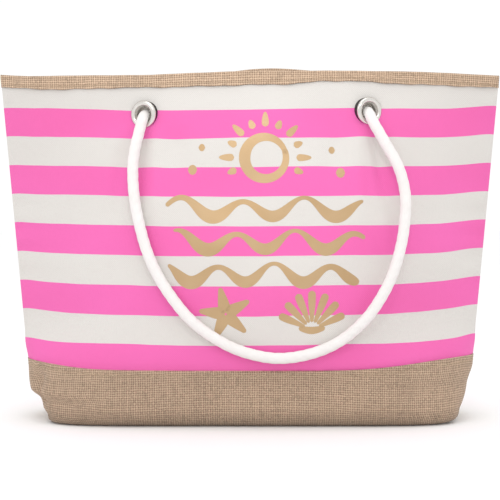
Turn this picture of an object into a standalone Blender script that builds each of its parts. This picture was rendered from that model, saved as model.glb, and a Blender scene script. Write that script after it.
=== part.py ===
"""A stuffed beach tote: striped canvas walls, a jute base and rim, eyelets and two rope handles.

Metres, +Z up. X runs from the left seam to the right one, the front faces -Y, and the floor is Z = 0.
Every wall layer is a sheet laid parallel to one outer surface, so the layers nest with a small gap.
"""

import math

import bpy
import bmesh
import numpy as np
from mathutils import Matrix, Vector

# Overall size
HEIGHT = 0.386  # floor to the top of the rim
TOP_HALF_WIDTH = 0.2790  # canvas at the rim, from the middle to a side seam
FLOOR_HALF_WIDTH = 0.2455  # what the sides' straight taper would reach at the floor
RIM_HALF_DEPTH = 0.030  # how far the open rim stands from the middle plane
BULGE_HALF_DEPTH = 0.082  # the same at the fullest height
BULGE_HEIGHT = 0.140
FLOOR_HALF_DEPTH = 0.075
BULGE_FALL = 1.6  # power of the fall from the bulge to the rim, nearly straight at the rim
SIDE_TURN = (0.030, 0.050)  # how far in and how high the sides turn under to the base
FRONT_TURN = (0.012, 0.020)  # the same for the front and the back
BOXED_HEIGHT = 0.120  # below this the lens-shaped section turns boxy
BOXED_POWER = 6  # of the boxy section at the floor
SEAM_HALF = 0.005  # half the gap between the walls at a side seam, which its taped allowance fills
SEAM_HALF_LOW = 0.0004  # the same round the boxed corners, where the walls meet edge to edge
SEAM_OPENS = (0.020, 0.070)  # heights between which the seam gap grows
BOTTOM_SEAM_SHARE = 0.9  # of the floor's length: the boxed corners close the rest

# Layers, from the outside in
GAP = 0.0003
CANVAS = 0.0012
JUTE = 0.0016
LINING = 0.0008
BOARD = 0.0025
BINDING = 0.0012
BINDING_HEIGHT = 0.0145
BINDING_FOLD = 0.0028  # the walls stop this far below the top of the binding
RIM_OVERHANG = 0.0010  # the binding stands out this far past the walls at each seam
JUTE_HEIGHT = 0.0620
SEAM_TAPE = (0.010, 0.0044)  # width and thickness of a turned-in side seam

# Eyelets and handles
EYELET_SPREAD = 0.1225  # each eyelet from the middle of its pair
EYELET_SHIFT = 0.007  # the pair's middle is this far right of the bag's
EYELET_Z = 0.341
EYELET_HOLE = 0.0086
EYELET_OUTER = 0.0150
BARREL = 0.0096
FABRIC_HOLE = 0.0103
ROPE = 0.006  # radius
ROPE_DROP = 0.002  # the rope rests on the low side of its eyelet
HINGE_REACH = 0.0120  # from the wall to the line that a handle swings about
NECK_CLEAR = 0.0072  # from that line to the end of the rope held in the eyelet
COLUMNS = 20
EYELETS = {"left": EYELET_SHIFT - EYELET_SPREAD, "right": EYELET_SHIFT + EYELET_SPREAD}

# The hanging loop of a handle, seen from the front, from the left hinge to the right one (X, Z)
LOOP = [
    (-0.1155, 0.3390), (-0.1182, 0.3220), (-0.1212, 0.3040), (-0.1231, 0.2810), (-0.1213, 0.2494),
    (-0.1155, 0.2179), (-0.1075, 0.1870), (-0.0947, 0.1579), (-0.0715, 0.1262), (-0.0500, 0.1073),
    (-0.0205, 0.0908), (0.0060, 0.0825), (0.0310, 0.0793), (0.0585, 0.0824), (0.0847, 0.0905),
    (0.1075, 0.1040), (0.1289, 0.1252), (0.1478, 0.1589), (0.1584, 0.1926), (0.1633, 0.2210),
    (0.1641, 0.2505), (0.1572, 0.2799), (0.1450, 0.3050), (0.1345, 0.3240), (0.1295, 0.3390),
]
LOOP_LOW_Y = -0.0925  # where the lowest point of the front loop hangs
ROPE_STEP = 0.026  # between the points of the tube


def clear_scene():
    for item in list(bpy.data.objects):
        bpy.data.objects.remove(item, do_unlink=True)


def collection(name):
    made = bpy.data.collections.new(name)
    bpy.context.scene.collection.children.link(made)
    return made


def material(name, hex_colour, roughness, metallic=0.0):
    """A Principled material from an sRGB colour."""
    srgb = [int(hex_colour[i : i + 2], 16) / 255 for i in (0, 2, 4)]
    made = bpy.data.materials.new(name)
    made.use_nodes = True
    shader = made.node_tree.nodes["Principled BSDF"]
    linear = [c / 12.92 if c <= 0.04045 else ((c + 0.055) / 1.055) ** 2.4 for c in srgb]
    shader.inputs["Base Color"].default_value = (*linear, 1)
    shader.inputs["Roughness"].default_value = roughness
    shader.inputs["Metallic"].default_value = metallic
    made.diffuse_color = (*linear, 1)
    return made


def smoothstep(t):
    t = np.clip(t, 0, 1)
    return t * t * (3 - 2 * t)


def turned_in(z, turn):
    """How far a wall has moved in at height z, on a quarter ellipse of the turn's reach and height."""
    reach, high = turn
    return reach * (1 - np.sqrt(1 - np.clip((high - z) / high, 0, 1) ** 2))


def half_width(z):
    taper = (TOP_HALF_WIDTH - FLOOR_HALF_WIDTH) / HEIGHT
    return FLOOR_HALF_WIDTH + taper * z - turned_in(z, SIDE_TURN)


def half_depth(z):
    """Half the depth on the centreline: widest at the bulge, falling off above and a little below."""
    up = np.clip((z - BULGE_HEIGHT) / (HEIGHT - BULGE_HEIGHT), 0, 1)
    down = np.clip(1 - z / BULGE_HEIGHT, 0, 1)
    rim = (BULGE_HALF_DEPTH - RIM_HALF_DEPTH) * up**BULGE_FALL
    floor = (BULGE_HALF_DEPTH - FLOOR_HALF_DEPTH) * down**2
    return BULGE_HALF_DEPTH - rim - floor - turned_in(z, FRONT_TURN)


def depth_across(u, z):
    """Distance of the wall from the middle plane, for u from -1 at the left seam to 1 at the right."""
    boxed = np.clip(1 - z / BOXED_HEIGHT, 0, 1) ** 1.5
    power = 2 + (BOXED_POWER - 2) * boxed
    root = BOXED_POWER**-boxed
    low, high = SEAM_OPENS
    seam = SEAM_HALF_LOW + (SEAM_HALF - SEAM_HALF_LOW) * smoothstep((z - low) / (high - low))
    return seam + (half_depth(z) - seam) * (1 - np.abs(u) ** power) ** root


def section(z):
    """One row of front wall points at height z, evenly spaced along the wall from seam to seam."""
    u = np.sin(np.linspace(-math.pi / 2, math.pi / 2, 901))
    x, y = half_width(z) * u, -depth_across(u, z)
    along = np.concatenate([[0], np.cumsum(np.hypot(np.diff(x), np.diff(y)))])
    at = np.linspace(0, along[-1], COLUMNS + 1)
    return np.stack([np.interp(at, along, x), np.interp(at, along, y), np.full_like(at, z)], axis=1)


def bottom_rows():
    """Rows on the floor, from the bottom seam out to the foot of the front wall, left out itself."""
    foot = section(0.0)
    seam = foot.copy()
    seam[:, 0] = np.linspace(foot[0, 0], foot[-1, 0], COLUMNS + 1) * BOTTOM_SEAM_SHARE
    seam[:, 1] = -SEAM_HALF_LOW
    return [seam, (seam + foot) / 2]


def unit_normals(grid):
    """Outward unit normals of a grid whose columns run in +X and whose rows run up the wall."""
    normal = np.cross(np.gradient(grid, axis=1), np.gradient(grid, axis=0))
    normal[grid[..., 2] == 0] = (0, 0, -1)
    return normal / np.linalg.norm(normal, axis=2, keepdims=True)


def inset(grid, depth):
    """The grid moved inwards along its normals by one depth, or by one for each row."""
    depth = np.broadcast_to(np.asarray(depth, float), len(grid))[:, None, None]
    moved = grid - depth * unit_normals(grid)
    moved[..., 1] = np.minimum(moved[..., 1], -GAP / 2)
    return moved


def mesh_object(name, vertices, faces, group, finish):
    mesh = bpy.data.meshes.new(name)
    mesh.from_pydata(np.asarray(vertices).tolist(), [], faces)
    mesh.materials.append(finish)
    made = bpy.data.objects.new(name, mesh)
    group.objects.link(made)
    return made


def sheet(name, grid, thickness, group, finish, back=False, offset=-1):
    """A fabric layer: the grid as an open sheet, thickened inwards. A back one is mirrored in Y.

    The grid's cells are cut into triangles the same way in every layer, so nested layers stay parallel.
    """
    rows, columns = grid.shape[:2]
    index = np.arange(rows * columns).reshape(rows, columns)
    corners = np.stack([index[:-1, :-1], index[:-1, 1:], index[1:, 1:], index[1:, :-1]], axis=-1)
    left, right = np.array_split(corners, 2, axis=1)
    halves = [left[..., [0, 1, 2]], left[..., [0, 2, 3]], right[..., [0, 1, 3]], right[..., [1, 2, 3]]]
    points = grid.reshape(-1, 3)
    faces = np.concatenate([half.reshape(-1, 3) for half in halves])
    if back:
        points, faces = points * (1, -1, 1), faces[:, ::-1]
    made = mesh_object(name, points, faces.tolist(), group, finish)
    solidify = made.modifiers.new("thickness", "SOLIDIFY")
    solidify.thickness = thickness
    solidify.offset = offset
    solidify.use_even_offset = True
    made.data.shade_smooth()
    made.data.set_sharp_from_angle(angle=math.radians(40))
    return made


def turned(name, profile, steps, group, finish, closed):
    """A solid of revolution about its own Z, from (radius, height) points down its outer side."""
    edges = [(i, i + 1) for i in range(len(profile) - 1)] + [(len(profile) - 1, 0)] * closed
    mesh = bpy.data.meshes.new(name)
    mesh.from_pydata([(r, 0, z) for r, z in profile], edges, [])
    mesh.materials.append(finish)
    made = bpy.data.objects.new(name, mesh)
    group.objects.link(made)
    screw = made.modifiers.new("turn", "SCREW")
    screw.steps = screw.render_steps = steps
    screw.use_merge_vertices = True
    screw.merge_threshold = 0.00001
    screw.use_smooth_shade = True
    return made


def wall_frame(x, z, back):
    """A matrix at a point of the outer surface, with its Z along the outward normal."""
    step = 0.001

    def point(px, pz):
        depth = float(depth_across(px / half_width(pz), pz))
        return Vector((px, depth if back else -depth, pz))

    across = point(x + step, z) - point(x - step, z)
    up = point(x, z + step) - point(x, z - step)
    normal = (up.cross(across) if back else across.cross(up)).normalized()
    return Matrix.Translation(point(x, z)) @ normal.to_track_quat("Z", "Y").to_matrix().to_4x4()


def outward(x, z, depth, back):
    """A matrix with its Z straight out of the front or back, at this distance from the middle plane."""
    side = 1 if back else -1
    turn = Matrix.Rotation(-side * math.pi / 2, 4, "X")
    return Matrix.Translation((x, side * depth, z)) @ turn


def wall_levels():
    """Heights of the wall's rows: close together round the turn, a pair at the jute seam, then even."""
    turn = [0, 0.0025, 0.009, 0.020, 0.036]
    canvas = np.linspace(JUTE_HEIGHT + 2 * GAP, HEIGHT - BINDING_FOLD, 8)
    return turn + [JUTE_HEIGHT], list(canvas)


def add_walls(side, back, group, finishes):
    """The canvas, the jute base and the lining of one side, and the grid that they follow."""
    low, high = wall_levels()
    floor = bottom_rows()
    grid = np.array(floor + [section(z) for z in low + high])
    base_rows = len(floor) + len(low)
    canvas = sheet(f"{side}_canvas", grid[base_rows:], CANVAS, group, finishes["canvas"], back)
    sheet(f"{side}_jute_base", grid[:base_rows], JUTE, group, finishes["jute"], back)
    board = JUTE + 2 * GAP + BOARD
    wall = JUTE + GAP
    depths = [board] * (len(floor) + 2) + [(board + wall) / 2] + [wall] * (len(low) - 3)
    depths += [CANVAS + GAP] * (len(high) - 1)
    lining_grid = inset(np.delete(grid, base_rows, axis=0), depths)
    lining = sheet(f"{side}_lining", lining_grid, LINING, group, finishes["lining"], back)
    return canvas, lining, lining_grid


def add_binding(side, back, group, finish):
    """The jute strip folded over the top edge: up the outside, over, and down the inside."""
    low, shoulder, crest = HEIGHT - BINDING_HEIGHT, HEIGHT - 0.004, HEIGHT - 0.001
    grid = np.array([section(z) for z in (low, shoulder, crest, HEIGHT)])
    normal = unit_normals(grid)
    out = 2 * GAP + BINDING
    inside = -(CANVAS + LINING + 4 * GAP + BINDING)
    path = [(0, out), (1, out), (2, out * 0.65), (3, (out + inside) / 2)]
    path += [(2, inside + out * 0.35), (1, inside), (0, inside)]
    rows = np.array([grid[row] + reach * normal[row] for row, reach in path])
    rows[:, [0, -1], 0] += (-RIM_OVERHANG, RIM_OVERHANG)
    sheet(f"{side}_rim_binding", rows, BINDING, group, finish, back)


def add_pocket(lining_grid, group, finish):
    """A flat slip pocket on the back lining, sewn at its sides and foot."""
    rows, columns = slice(-6, -2), slice(COLUMNS // 2 - 3, COLUMNS // 2 + 4)
    grid = inset(lining_grid[-8:], LINING + GAP)[rows, columns]
    sheet("inner_pocket", grid, LINING, group, finish, back=True)


def add_seam_tape(side, sign, group, finish):
    """The side seam's allowance, turned in, taped and sewn flat between the two walls."""
    width, thickness = SEAM_TAPE
    levels = np.linspace(SEAM_OPENS[1] + 0.006, HEIGHT - BINDING_HEIGHT - 0.002, 6)
    outer = np.array([(half_width(z) - GAP, 0, z) for z in levels])
    grid = np.stack([outer - (width, 0, 0), outer], axis=1)
    made = sheet(f"{side}_seam_tape", grid * (sign, 1, 1), thickness, group, finish, offset=0)
    if sign < 0:
        made.data.flip_normals()


def add_base_board(group, finish):
    """The stiff board under the lining, a plate with rounded corners."""
    half_x = half_width(0) - 0.006
    half_y = float(half_depth(0)) - 0.006
    solid = bmesh.new()
    bmesh.ops.create_cube(solid, size=1, matrix=Matrix.Diagonal((2 * half_x, 2 * half_y, BOARD, 1)))
    upright = [e for e in solid.edges if abs(e.verts[0].co.z - e.verts[1].co.z) > BOARD / 2]
    bmesh.ops.bevel(solid, geom=upright, offset=0.03, segments=4, profile=0.5, affect="EDGES")
    mesh = bpy.data.meshes.new("base_board")
    solid.to_mesh(mesh)
    solid.free()
    mesh.materials.append(finish)
    made = bpy.data.objects.new("base_board", mesh)
    made.location = (0, 0, JUTE + GAP + BOARD / 2)
    group.objects.link(made)


def add_eyelet(name, frame, group, finish):
    """The flange and barrel in one, pressed from sheet, and the washer that it is clinched over."""
    flange = [
        (EYELET_OUTER, 0.0005), (BARREL, 0.0005), (BARREL, -0.0047), (0.0112, -0.0050),
        (0.0112, -0.0056), (EYELET_HOLE, -0.0060), (EYELET_HOLE, 0.0010), (0.0096, 0.0022),
        (0.0115, 0.0028), (0.0134, 0.0022),
    ]
    made = turned(f"{name}_eyelet", flange, 16, group, finish, closed=True)
    made.matrix_world = frame
    washer = [(0.0145, -0.0034), (0.0145, -0.0043), (0.0100, -0.0043), (0.0100, -0.0034)]
    made = turned(f"{name}_eyelet_washer", washer, 16, group, finish, closed=True)
    made.matrix_world = frame


def add_knot(name, x, neck, back, group, finish):
    """The end of a rope: a neck through the eyelet and the knot that holds it, inside the bag."""
    rope_z = EYELET_Z - ROPE_DROP
    wall = float(depth_across(x / half_width(EYELET_Z), EYELET_Z))
    profile = [
        (0, neck - wall), (ROPE, neck - wall), (ROPE, -0.0088), (0.011, -0.0105), (0.013, -0.0145),
        (0.013, -0.0190), (0.0105, -0.0230), (ROPE, -0.0255), (ROPE, -0.0310), (0, -0.0310),
    ]
    made = turned(f"{name}_rope_knot", profile, 12, group, finish, closed=False)
    made.matrix_world = outward(x, rope_z, wall, back)


def smooth_path(points, step):
    """Evenly spaced points on the Catmull-Rom curve through the given ones."""
    p = np.asarray(points, float)
    p = np.concatenate([[2 * p[0] - p[1]], p, [2 * p[-1] - p[-2]]])
    t = np.linspace(0, 1, 24, endpoint=False)[:, None]
    curve = [
        0.5 * (2 * b + (c - a) * t + (2 * a - 5 * b + 4 * c - d) * t**2 + (3 * b - a - 3 * c + d) * t**3)
        for a, b, c, d in zip(p[:-3], p[1:-2], p[2:-1], p[3:])
    ]
    curve = np.concatenate(curve + [p[-2:-1]])
    along = np.concatenate([[0], np.cumsum(np.linalg.norm(np.diff(curve, axis=0), axis=1))])
    at = np.linspace(0, along[-1], round(along[-1] / step) + 1)
    return np.stack([np.interp(at, along, curve[:, k]) for k in range(3)], axis=1)


def add_handle(side, back, hinge_depth, group, finish):
    """One rope loop, hanging from an empty on the line that it swings about."""
    sign = 1 if back else -1
    hinge_z = EYELET_Z - ROPE_DROP
    hinge = bpy.data.objects.new(f"{side}_handle_hinge", None)
    hinge.location = (EYELET_SHIFT, sign * hinge_depth, hinge_z)
    group.objects.link(hinge)
    lowest = min(z for _, z in LOOP)
    lean = (-LOOP_LOW_Y - hinge_depth) / (hinge_z - lowest)
    points = [(x, sign * (hinge_depth + lean * (hinge_z - z)), z) for x, z in LOOP]
    points = smooth_path(points, ROPE_STEP) - np.array(hinge.location)
    curve = bpy.data.curves.new(f"{side}_rope_handle", "CURVE")
    curve.dimensions = "3D"
    curve.bevel_depth = ROPE
    curve.bevel_resolution = 2
    curve.use_fill_caps = True
    spline = curve.splines.new("POLY")
    spline.points.add(len(points) - 1)
    for point, place in zip(spline.points, points):
        point.co = (*place, 1)
    curve.materials.append(finish)
    rope = bpy.data.objects.new(f"{side}_rope_handle", curve)
    rope.parent = hinge
    group.objects.link(rope)


def add_hole_cutter(name, frame, cutters, panels):
    """A hole through canvas and lining for one eyelet's barrel."""
    solid = bmesh.new()
    bmesh.ops.create_cone(
        solid, cap_ends=True, segments=20, radius1=FABRIC_HOLE, radius2=FABRIC_HOLE, depth=0.02
    )
    mesh = bpy.data.meshes.new(f"{name}_hole")
    solid.to_mesh(mesh)
    solid.free()
    cutter = bpy.data.objects.new(f"{name}_hole", mesh)
    cutter.matrix_world = frame
    cutter.hide_render = True
    cutter.display_type = "WIRE"
    cutters.objects.link(cutter)
    for panel in panels:
        cut = panel.modifiers.new(f"{name}_hole", "BOOLEAN")
        cut.operation = "DIFFERENCE"
        cut.object = cutter


def build():
    clear_scene()
    bag = collection("beach_bag")
    cutters = collection("cutters")
    finishes = {
        "canvas": material("striped_canvas", "F57FB8", 0.85),
        "jute": material("jute_burlap", "B69B86", 0.95),
        "lining": material("cotton_lining", "E6E0D6", 0.9),
        "tape": material("seam_tape", "D8D0C4", 0.9),
    }
    metal = material("nickel_plated_brass", "C9C9CB", 0.25, 1.0)
    rope = material("cotton_rope", "F6F1EC", 0.9)
    board = material("grey_board", "8F8A84", 0.8)
    hinge_depth = HINGE_REACH + max(
        float(depth_across(x / half_width(EYELET_Z), EYELET_Z)) for x in EYELETS.values()
    )
    for side, back in (("front", False), ("back", True)):
        canvas, lining, lining_grid = add_walls(side, back, bag, finishes)
        add_binding(side, back, bag, finishes["jute"])
        for hand, x in EYELETS.items():
            frame = wall_frame(x, EYELET_Z, back)
            add_hole_cutter(f"{side}_{hand}", frame, cutters, (canvas, lining))
            add_eyelet(f"{side}_{hand}", frame, bag, metal)
            add_knot(f"{side}_{hand}", x, hinge_depth - NECK_CLEAR, back, bag, rope)
        add_handle(side, back, hinge_depth, bag, rope)
    add_pocket(lining_grid, bag, finishes["lining"])
    for side, sign in (("left", -1), ("right", 1)):
        add_seam_tape(side, sign, bag, finishes["tape"])
    add_base_board(bag, board)


build()
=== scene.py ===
"""A stuffed beach tote: striped canvas walls, jute burlap base and rim, nickel eyelets, two rope handles.

Metres, +Z up. X runs from the left seam to the right one, the front faces -Y, and the floor is Z = 0.
"""

import math

import bpy
import numpy as np
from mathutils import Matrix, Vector


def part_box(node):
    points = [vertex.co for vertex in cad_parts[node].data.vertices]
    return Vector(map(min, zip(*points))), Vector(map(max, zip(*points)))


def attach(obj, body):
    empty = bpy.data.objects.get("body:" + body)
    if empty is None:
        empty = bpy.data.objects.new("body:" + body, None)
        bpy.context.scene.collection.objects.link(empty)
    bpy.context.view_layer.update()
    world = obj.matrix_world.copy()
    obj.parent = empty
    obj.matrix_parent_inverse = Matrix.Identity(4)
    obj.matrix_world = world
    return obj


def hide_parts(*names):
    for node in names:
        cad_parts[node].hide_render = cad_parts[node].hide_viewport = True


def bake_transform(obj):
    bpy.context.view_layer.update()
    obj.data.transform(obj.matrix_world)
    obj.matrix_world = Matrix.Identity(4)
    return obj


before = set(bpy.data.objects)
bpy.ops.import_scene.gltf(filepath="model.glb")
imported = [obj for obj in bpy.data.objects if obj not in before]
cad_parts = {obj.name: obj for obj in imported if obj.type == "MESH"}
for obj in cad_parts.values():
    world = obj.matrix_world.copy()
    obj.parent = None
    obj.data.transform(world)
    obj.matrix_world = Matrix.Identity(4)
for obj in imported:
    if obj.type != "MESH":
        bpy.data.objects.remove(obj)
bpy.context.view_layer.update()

# ---------------------------------------------------------------------------------------------
# Studio: a pale floor, a white surround, soft lamps overhead and to the left, a softened spot on the
# middle of the front, and a camera square to the front, two thirds up the bag and tipped down a little.

LENS = 96.1
CAMERA_PLACE = (0.0, -1.5, 0.261)
CAMERA_DOWN = 2.8  # degrees
SURROUND_STRENGTH = 1.03
FLOOR_HALF = 6.0
FLOOR_LEVEL = -0.0003  # a hair under the base, so the two faces don't share a plane
FLOOR_WHITE = (0.965, 0.98)
SPOT_RADIUS = 0.10  # of the spot's own disc, which softens its shadow
# Name, kind, place, the point it is aimed at, power, and the side of an area lamp or the angle of a spot
LAMPS = (
    ("key", "AREA", (-0.8, -1.0, 0.95), (0.0, 0.0, 0.2), 0.95, 0.5),
    ("overhead", "AREA", (0.0, -0.5, 2.4), (0.0, 0.0, 0.2), 9.0, 1.6),
    ("front_spot", "SPOT", (0.02, -1.0, 0.98), (0.02, -0.04, 0.30), 8.0, math.radians(30)),
)


def linear(hex_colour):
    """sRGB hex to a linear colour: each channel by the sRGB curve."""
    srgb = [int(hex_colour[i : i + 2], 16) / 255 for i in (0, 2, 4)]
    return (*[c / 12.92 if c <= 0.04045 else ((c + 0.055) / 1.055) ** 2.4 for c in srgb], 1.0)


def add(tree, kind, settings=None, **inputs):
    """One node with its settings; an input is a value or another node's socket, by name or as i0, i1..."""
    made = tree.nodes.new(kind)
    for key, value in (settings or {}).items():
        setattr(made, key, value)
    for key, value in inputs.items():
        numbered = key[0] == "i" and key[1:].isdigit()
        socket = made.inputs[int(key[1:]) if numbered else key.replace("_", " ")]
        if isinstance(value, bpy.types.NodeSocket):
            tree.links.new(value, socket)
        else:
            socket.default_value = value
    return made


def material(name):
    """A new material with nothing in it but its output, and its node tree."""
    made = bpy.data.materials.new(name)
    made.use_nodes = True
    made.node_tree.nodes.clear()
    return made, made.node_tree


def mesh_piece(name, points, faces, finish, uv=None, smooth=True):
    """An object at the origin from points and faces; uv is one pair for each point."""
    mesh = bpy.data.meshes.new(name)
    mesh.from_pydata(np.asarray(points).tolist(), [], [list(f) for f in faces])
    if uv is not None:
        layer = mesh.uv_layers.new(name="cloth")
        corners = np.empty(len(mesh.loops), np.int32)
        mesh.loops.foreach_get("vertex_index", corners)
        layer.data.foreach_set("uv", np.asarray(uv, np.float32)[corners].ravel())
    if smooth:
        mesh.shade_smooth()
    mesh.materials.append(finish)
    made = bpy.data.objects.new(name, mesh)
    bpy.context.scene.collection.objects.link(made)
    return made


camera_data = bpy.data.cameras.new("camera")
camera_data.lens = LENS
camera = bpy.data.objects.new("camera", camera_data)
camera.location = CAMERA_PLACE
camera.rotation_euler = (math.radians(90 - CAMERA_DOWN), 0, 0)
bpy.context.scene.collection.objects.link(camera)
bpy.context.scene.camera = camera
bpy.context.scene.view_settings.view_transform = "Standard"

surround = bpy.data.worlds.new("white_surround")
surround.use_nodes = True
surround.node_tree.nodes["Background"].inputs["Color"].default_value = (1.0, 1.0, 1.0, 1.0)
surround.node_tree.nodes["Background"].inputs["Strength"].default_value = SURROUND_STRENGTH
bpy.context.scene.world = surround

for lamp_name, kind, place, aim, power, spread in LAMPS:
    lamp_data = bpy.data.lights.new(lamp_name, kind)
    lamp_data.energy = power
    if kind == "AREA":
        lamp_data.size = spread
    else:
        lamp_data.spot_size, lamp_data.spot_blend, lamp_data.shadow_soft_size = spread, 1.0, SPOT_RADIUS
    lamp = bpy.data.objects.new(lamp_name, lamp_data)
    lamp.location = place
    lamp.rotation_euler = (Vector(aim) - Vector(place)).to_track_quat("-Z", "Y").to_euler()
    bpy.context.scene.collection.objects.link(lamp)

# Matt white paint: no gloss, and barely uneven in patches 0.3 m across.
floor_paint, tree = material("matt_white_floor")
grain = add(tree, "ShaderNodeTexNoise", Scale=3.0, Detail=2.0)
tone = add(tree, "ShaderNodeMapRange", Value=grain.outputs[0], To_Min=FLOOR_WHITE[0], To_Max=FLOOR_WHITE[1])
shader = add(tree, "ShaderNodeBsdfPrincipled", Base_Color=tone.outputs[0], Roughness=0.9)
add(tree, "ShaderNodeOutputMaterial", Surface=shader.outputs[0])
signs = ((-1, -1), (1, -1), (1, 1), (-1, 1))
corners = [(across * FLOOR_HALF, along * FLOOR_HALF, FLOOR_LEVEL) for across, along in signs]
studio_floor = mesh_piece("studio_floor", corners, [(0, 1, 2, 3)], floor_paint)

# ---------------------------------------------------------------------------------------------
# Rope handles: soft three-strand cotton rope, 12 mm, laid right-handed. Each is one length that
# comes through an eyelet, hangs down the wall and goes back in through the other eyelet, with a
# stopper knot tied inside the bag at each end. The knots hold it.

ROPE_DIAMETER = 0.012
STRAND_PITCH = 0.032  # one strand's full turn round the rope
STRAND_RELIEF = 0.042  # depth of the grooves between strands, as a share of the radius
ROPE_SIDES = 42
RING_STEP = 0.0011  # from one ring of the mesh to the next
SPAN_SAMPLES = 24  # on the curve between two given points
MEAN_SAMPLES = 9  # of the running mean that eases a path

# From the tail in the bag, out through the left eyelet, round the loop and back in (X, Y, Z)
ROPE_ROUTE = [
    (-0.1112, -0.0108, 0.3378), (-0.1120, -0.0190, 0.3381), (-0.1133, -0.0290, 0.3378),
    (-0.1155, -0.0394, 0.3362), (-0.1172, -0.0456, 0.3316), (-0.1184, -0.0496, 0.3250),
    (-0.1200, -0.0522, 0.3170), (-0.1233, -0.0552, 0.3040), (-0.1263, -0.0588, 0.2810),
    (-0.1247, -0.0634, 0.2494), (-0.1186, -0.0681, 0.2179), (-0.1093, -0.0731, 0.1870),
    (-0.0950, -0.0780, 0.1579), (-0.0715, -0.0834, 0.1258), (-0.0500, -0.0863, 0.1062),
    (-0.0205, -0.0879, 0.0886), (0.0060, -0.0884, 0.0798), (0.0310, -0.0882, 0.0764),
    (0.0585, -0.0874, 0.0797), (0.0847, -0.0857, 0.0884), (0.1075, -0.0830, 0.1026),
    (0.1300, -0.0797, 0.1252), (0.1502, -0.0750, 0.1589), (0.1613, -0.0703, 0.1926),
    (0.1663, -0.0664, 0.2210), (0.1672, -0.0626, 0.2505), (0.1603, -0.0584, 0.2799),
    (0.1466, -0.0549, 0.3050), (0.1374, -0.0522, 0.3215), (0.1333, -0.0493, 0.3289),
    (0.1310, -0.0447, 0.3350), (0.1297, -0.0388, 0.3395), (0.1281, -0.0300, 0.3415),
    (0.1270, -0.0190, 0.3421), (0.1266, -0.0100, 0.3418),
]


def smooth_path(points, step, passes=2):
    """Evenly spaced points on a Catmull-Rom curve through the given ones, then eased.

    Each pass spaces them afresh and moves each to the mean of its neighbours, less and less towards
    both ends, which stay.
    """
    p = np.asarray(points, float)
    p = np.concatenate([[2 * p[0] - p[1]], p, [2 * p[-1] - p[-2]]])
    t = np.linspace(0, 1, SPAN_SAMPLES, endpoint=False)[:, None]
    pieces = [
        0.5 * (2 * b + (c - a) * t + (2 * a - 5 * b + 4 * c - d) * t**2 + (3 * b - a - 3 * c + d) * t**3)
        for a, b, c, d in zip(p[:-3], p[1:-2], p[2:-1], p[3:])
    ]
    curve = np.concatenate(pieces + [p[-2:-1]])
    weights = np.ones(MEAN_SAMPLES) / MEAN_SAMPLES
    beyond = MEAN_SAMPLES // 2
    for _ in range(passes + 1):
        along = np.concatenate([[0], np.cumsum(np.linalg.norm(np.diff(curve, axis=0), axis=1))])
        at = np.linspace(0, along[-1], max(2, round(along[-1] / step)) + 1)
        curve = np.stack([np.interp(at, along, values) for values in curve.T], axis=1)
        longer = np.concatenate([curve[:1]] * beyond + [curve] + [curve[-1:]] * beyond)
        mean = np.stack([np.convolve(values, weights, "valid") for values in longer.T], axis=1)
        from_end = np.minimum(np.arange(len(curve)), np.arange(len(curve))[::-1])
        curve = curve + (mean - curve) * np.clip(from_end / MEAN_SAMPLES, 0, 1)[:, None]
    return curve


def frames_along(path):
    """Two unit vectors across the path at each point, turned as little as possible from one to the next."""
    ahead = np.gradient(path, axis=0)
    ahead /= np.linalg.norm(ahead, axis=1, keepdims=True)
    side = np.cross(ahead[0], (0.0, 0.0, 1.0) if abs(ahead[0, 2]) < 0.9 else (1.0, 0.0, 0.0))
    sides = np.empty_like(path)
    for i, direction in enumerate(ahead):
        side = side - direction * (side @ direction)
        side = side / np.linalg.norm(side)
        sides[i] = side
    return sides, np.cross(ahead, sides)


def laid_tube(path, radius, pitch, relief, count, end_round=0.6, end_size=0.25):
    """Points, faces and UV of a laid rope: a tube whose radius dips in three grooves that wind along it.

    radius x (1 - relief x |sin(1.5 (angle - turn))| cubed), where turn grows by a full turn each pitch.
    Its ends are drawn in along a quarter circle to end_size of the radius and closed on a pole.
    """
    steps = np.linalg.norm(np.diff(path, axis=0), axis=1)
    along = np.concatenate([[0], np.cumsum(steps)])
    across, up = frames_along(path)
    angle = np.linspace(0, 2 * np.pi, count, endpoint=False)[None, :]
    turn = (2 * np.pi * along / pitch)[:, None]
    groove = np.abs(np.sin(1.5 * (angle - turn))) ** 3
    to_end = np.clip(np.minimum(along, along[-1] - along) / (radius * end_round), 0, 1)
    drawn = np.sqrt(np.clip(1 - (1 - to_end) ** 2, 0.0, 1))[:, None]
    reach = radius * (1 - relief * groove) * np.maximum(drawn, end_size)
    rings = path[:, None] + reach[..., None] * (
        np.cos(angle)[..., None] * across[:, None] + np.sin(angle)[..., None] * up[:, None]
    )
    points = np.concatenate([rings.reshape(-1, 3), path[:1], path[-1:]])
    index = np.arange(len(path) * count).reshape(len(path), count)
    beside = np.roll(index, -1, axis=1)
    quads = np.stack([index[:-1], beside[:-1], beside[1:], index[1:]], axis=-1).reshape(-1, 4)
    first, last = len(points) - 2, len(points) - 1
    caps = [(first, b, a) for a, b in zip(index[0], beside[0])]
    caps += [(last, a, b) for a, b in zip(index[-1], beside[-1])]
    uv = np.stack(np.broadcast_arrays(angle * radius, along[:, None]), axis=-1)
    uv = np.concatenate([uv.reshape(-1, 2), [(0, 0), (0, along[-1])]])
    return points, quads.tolist() + caps, uv


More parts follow.
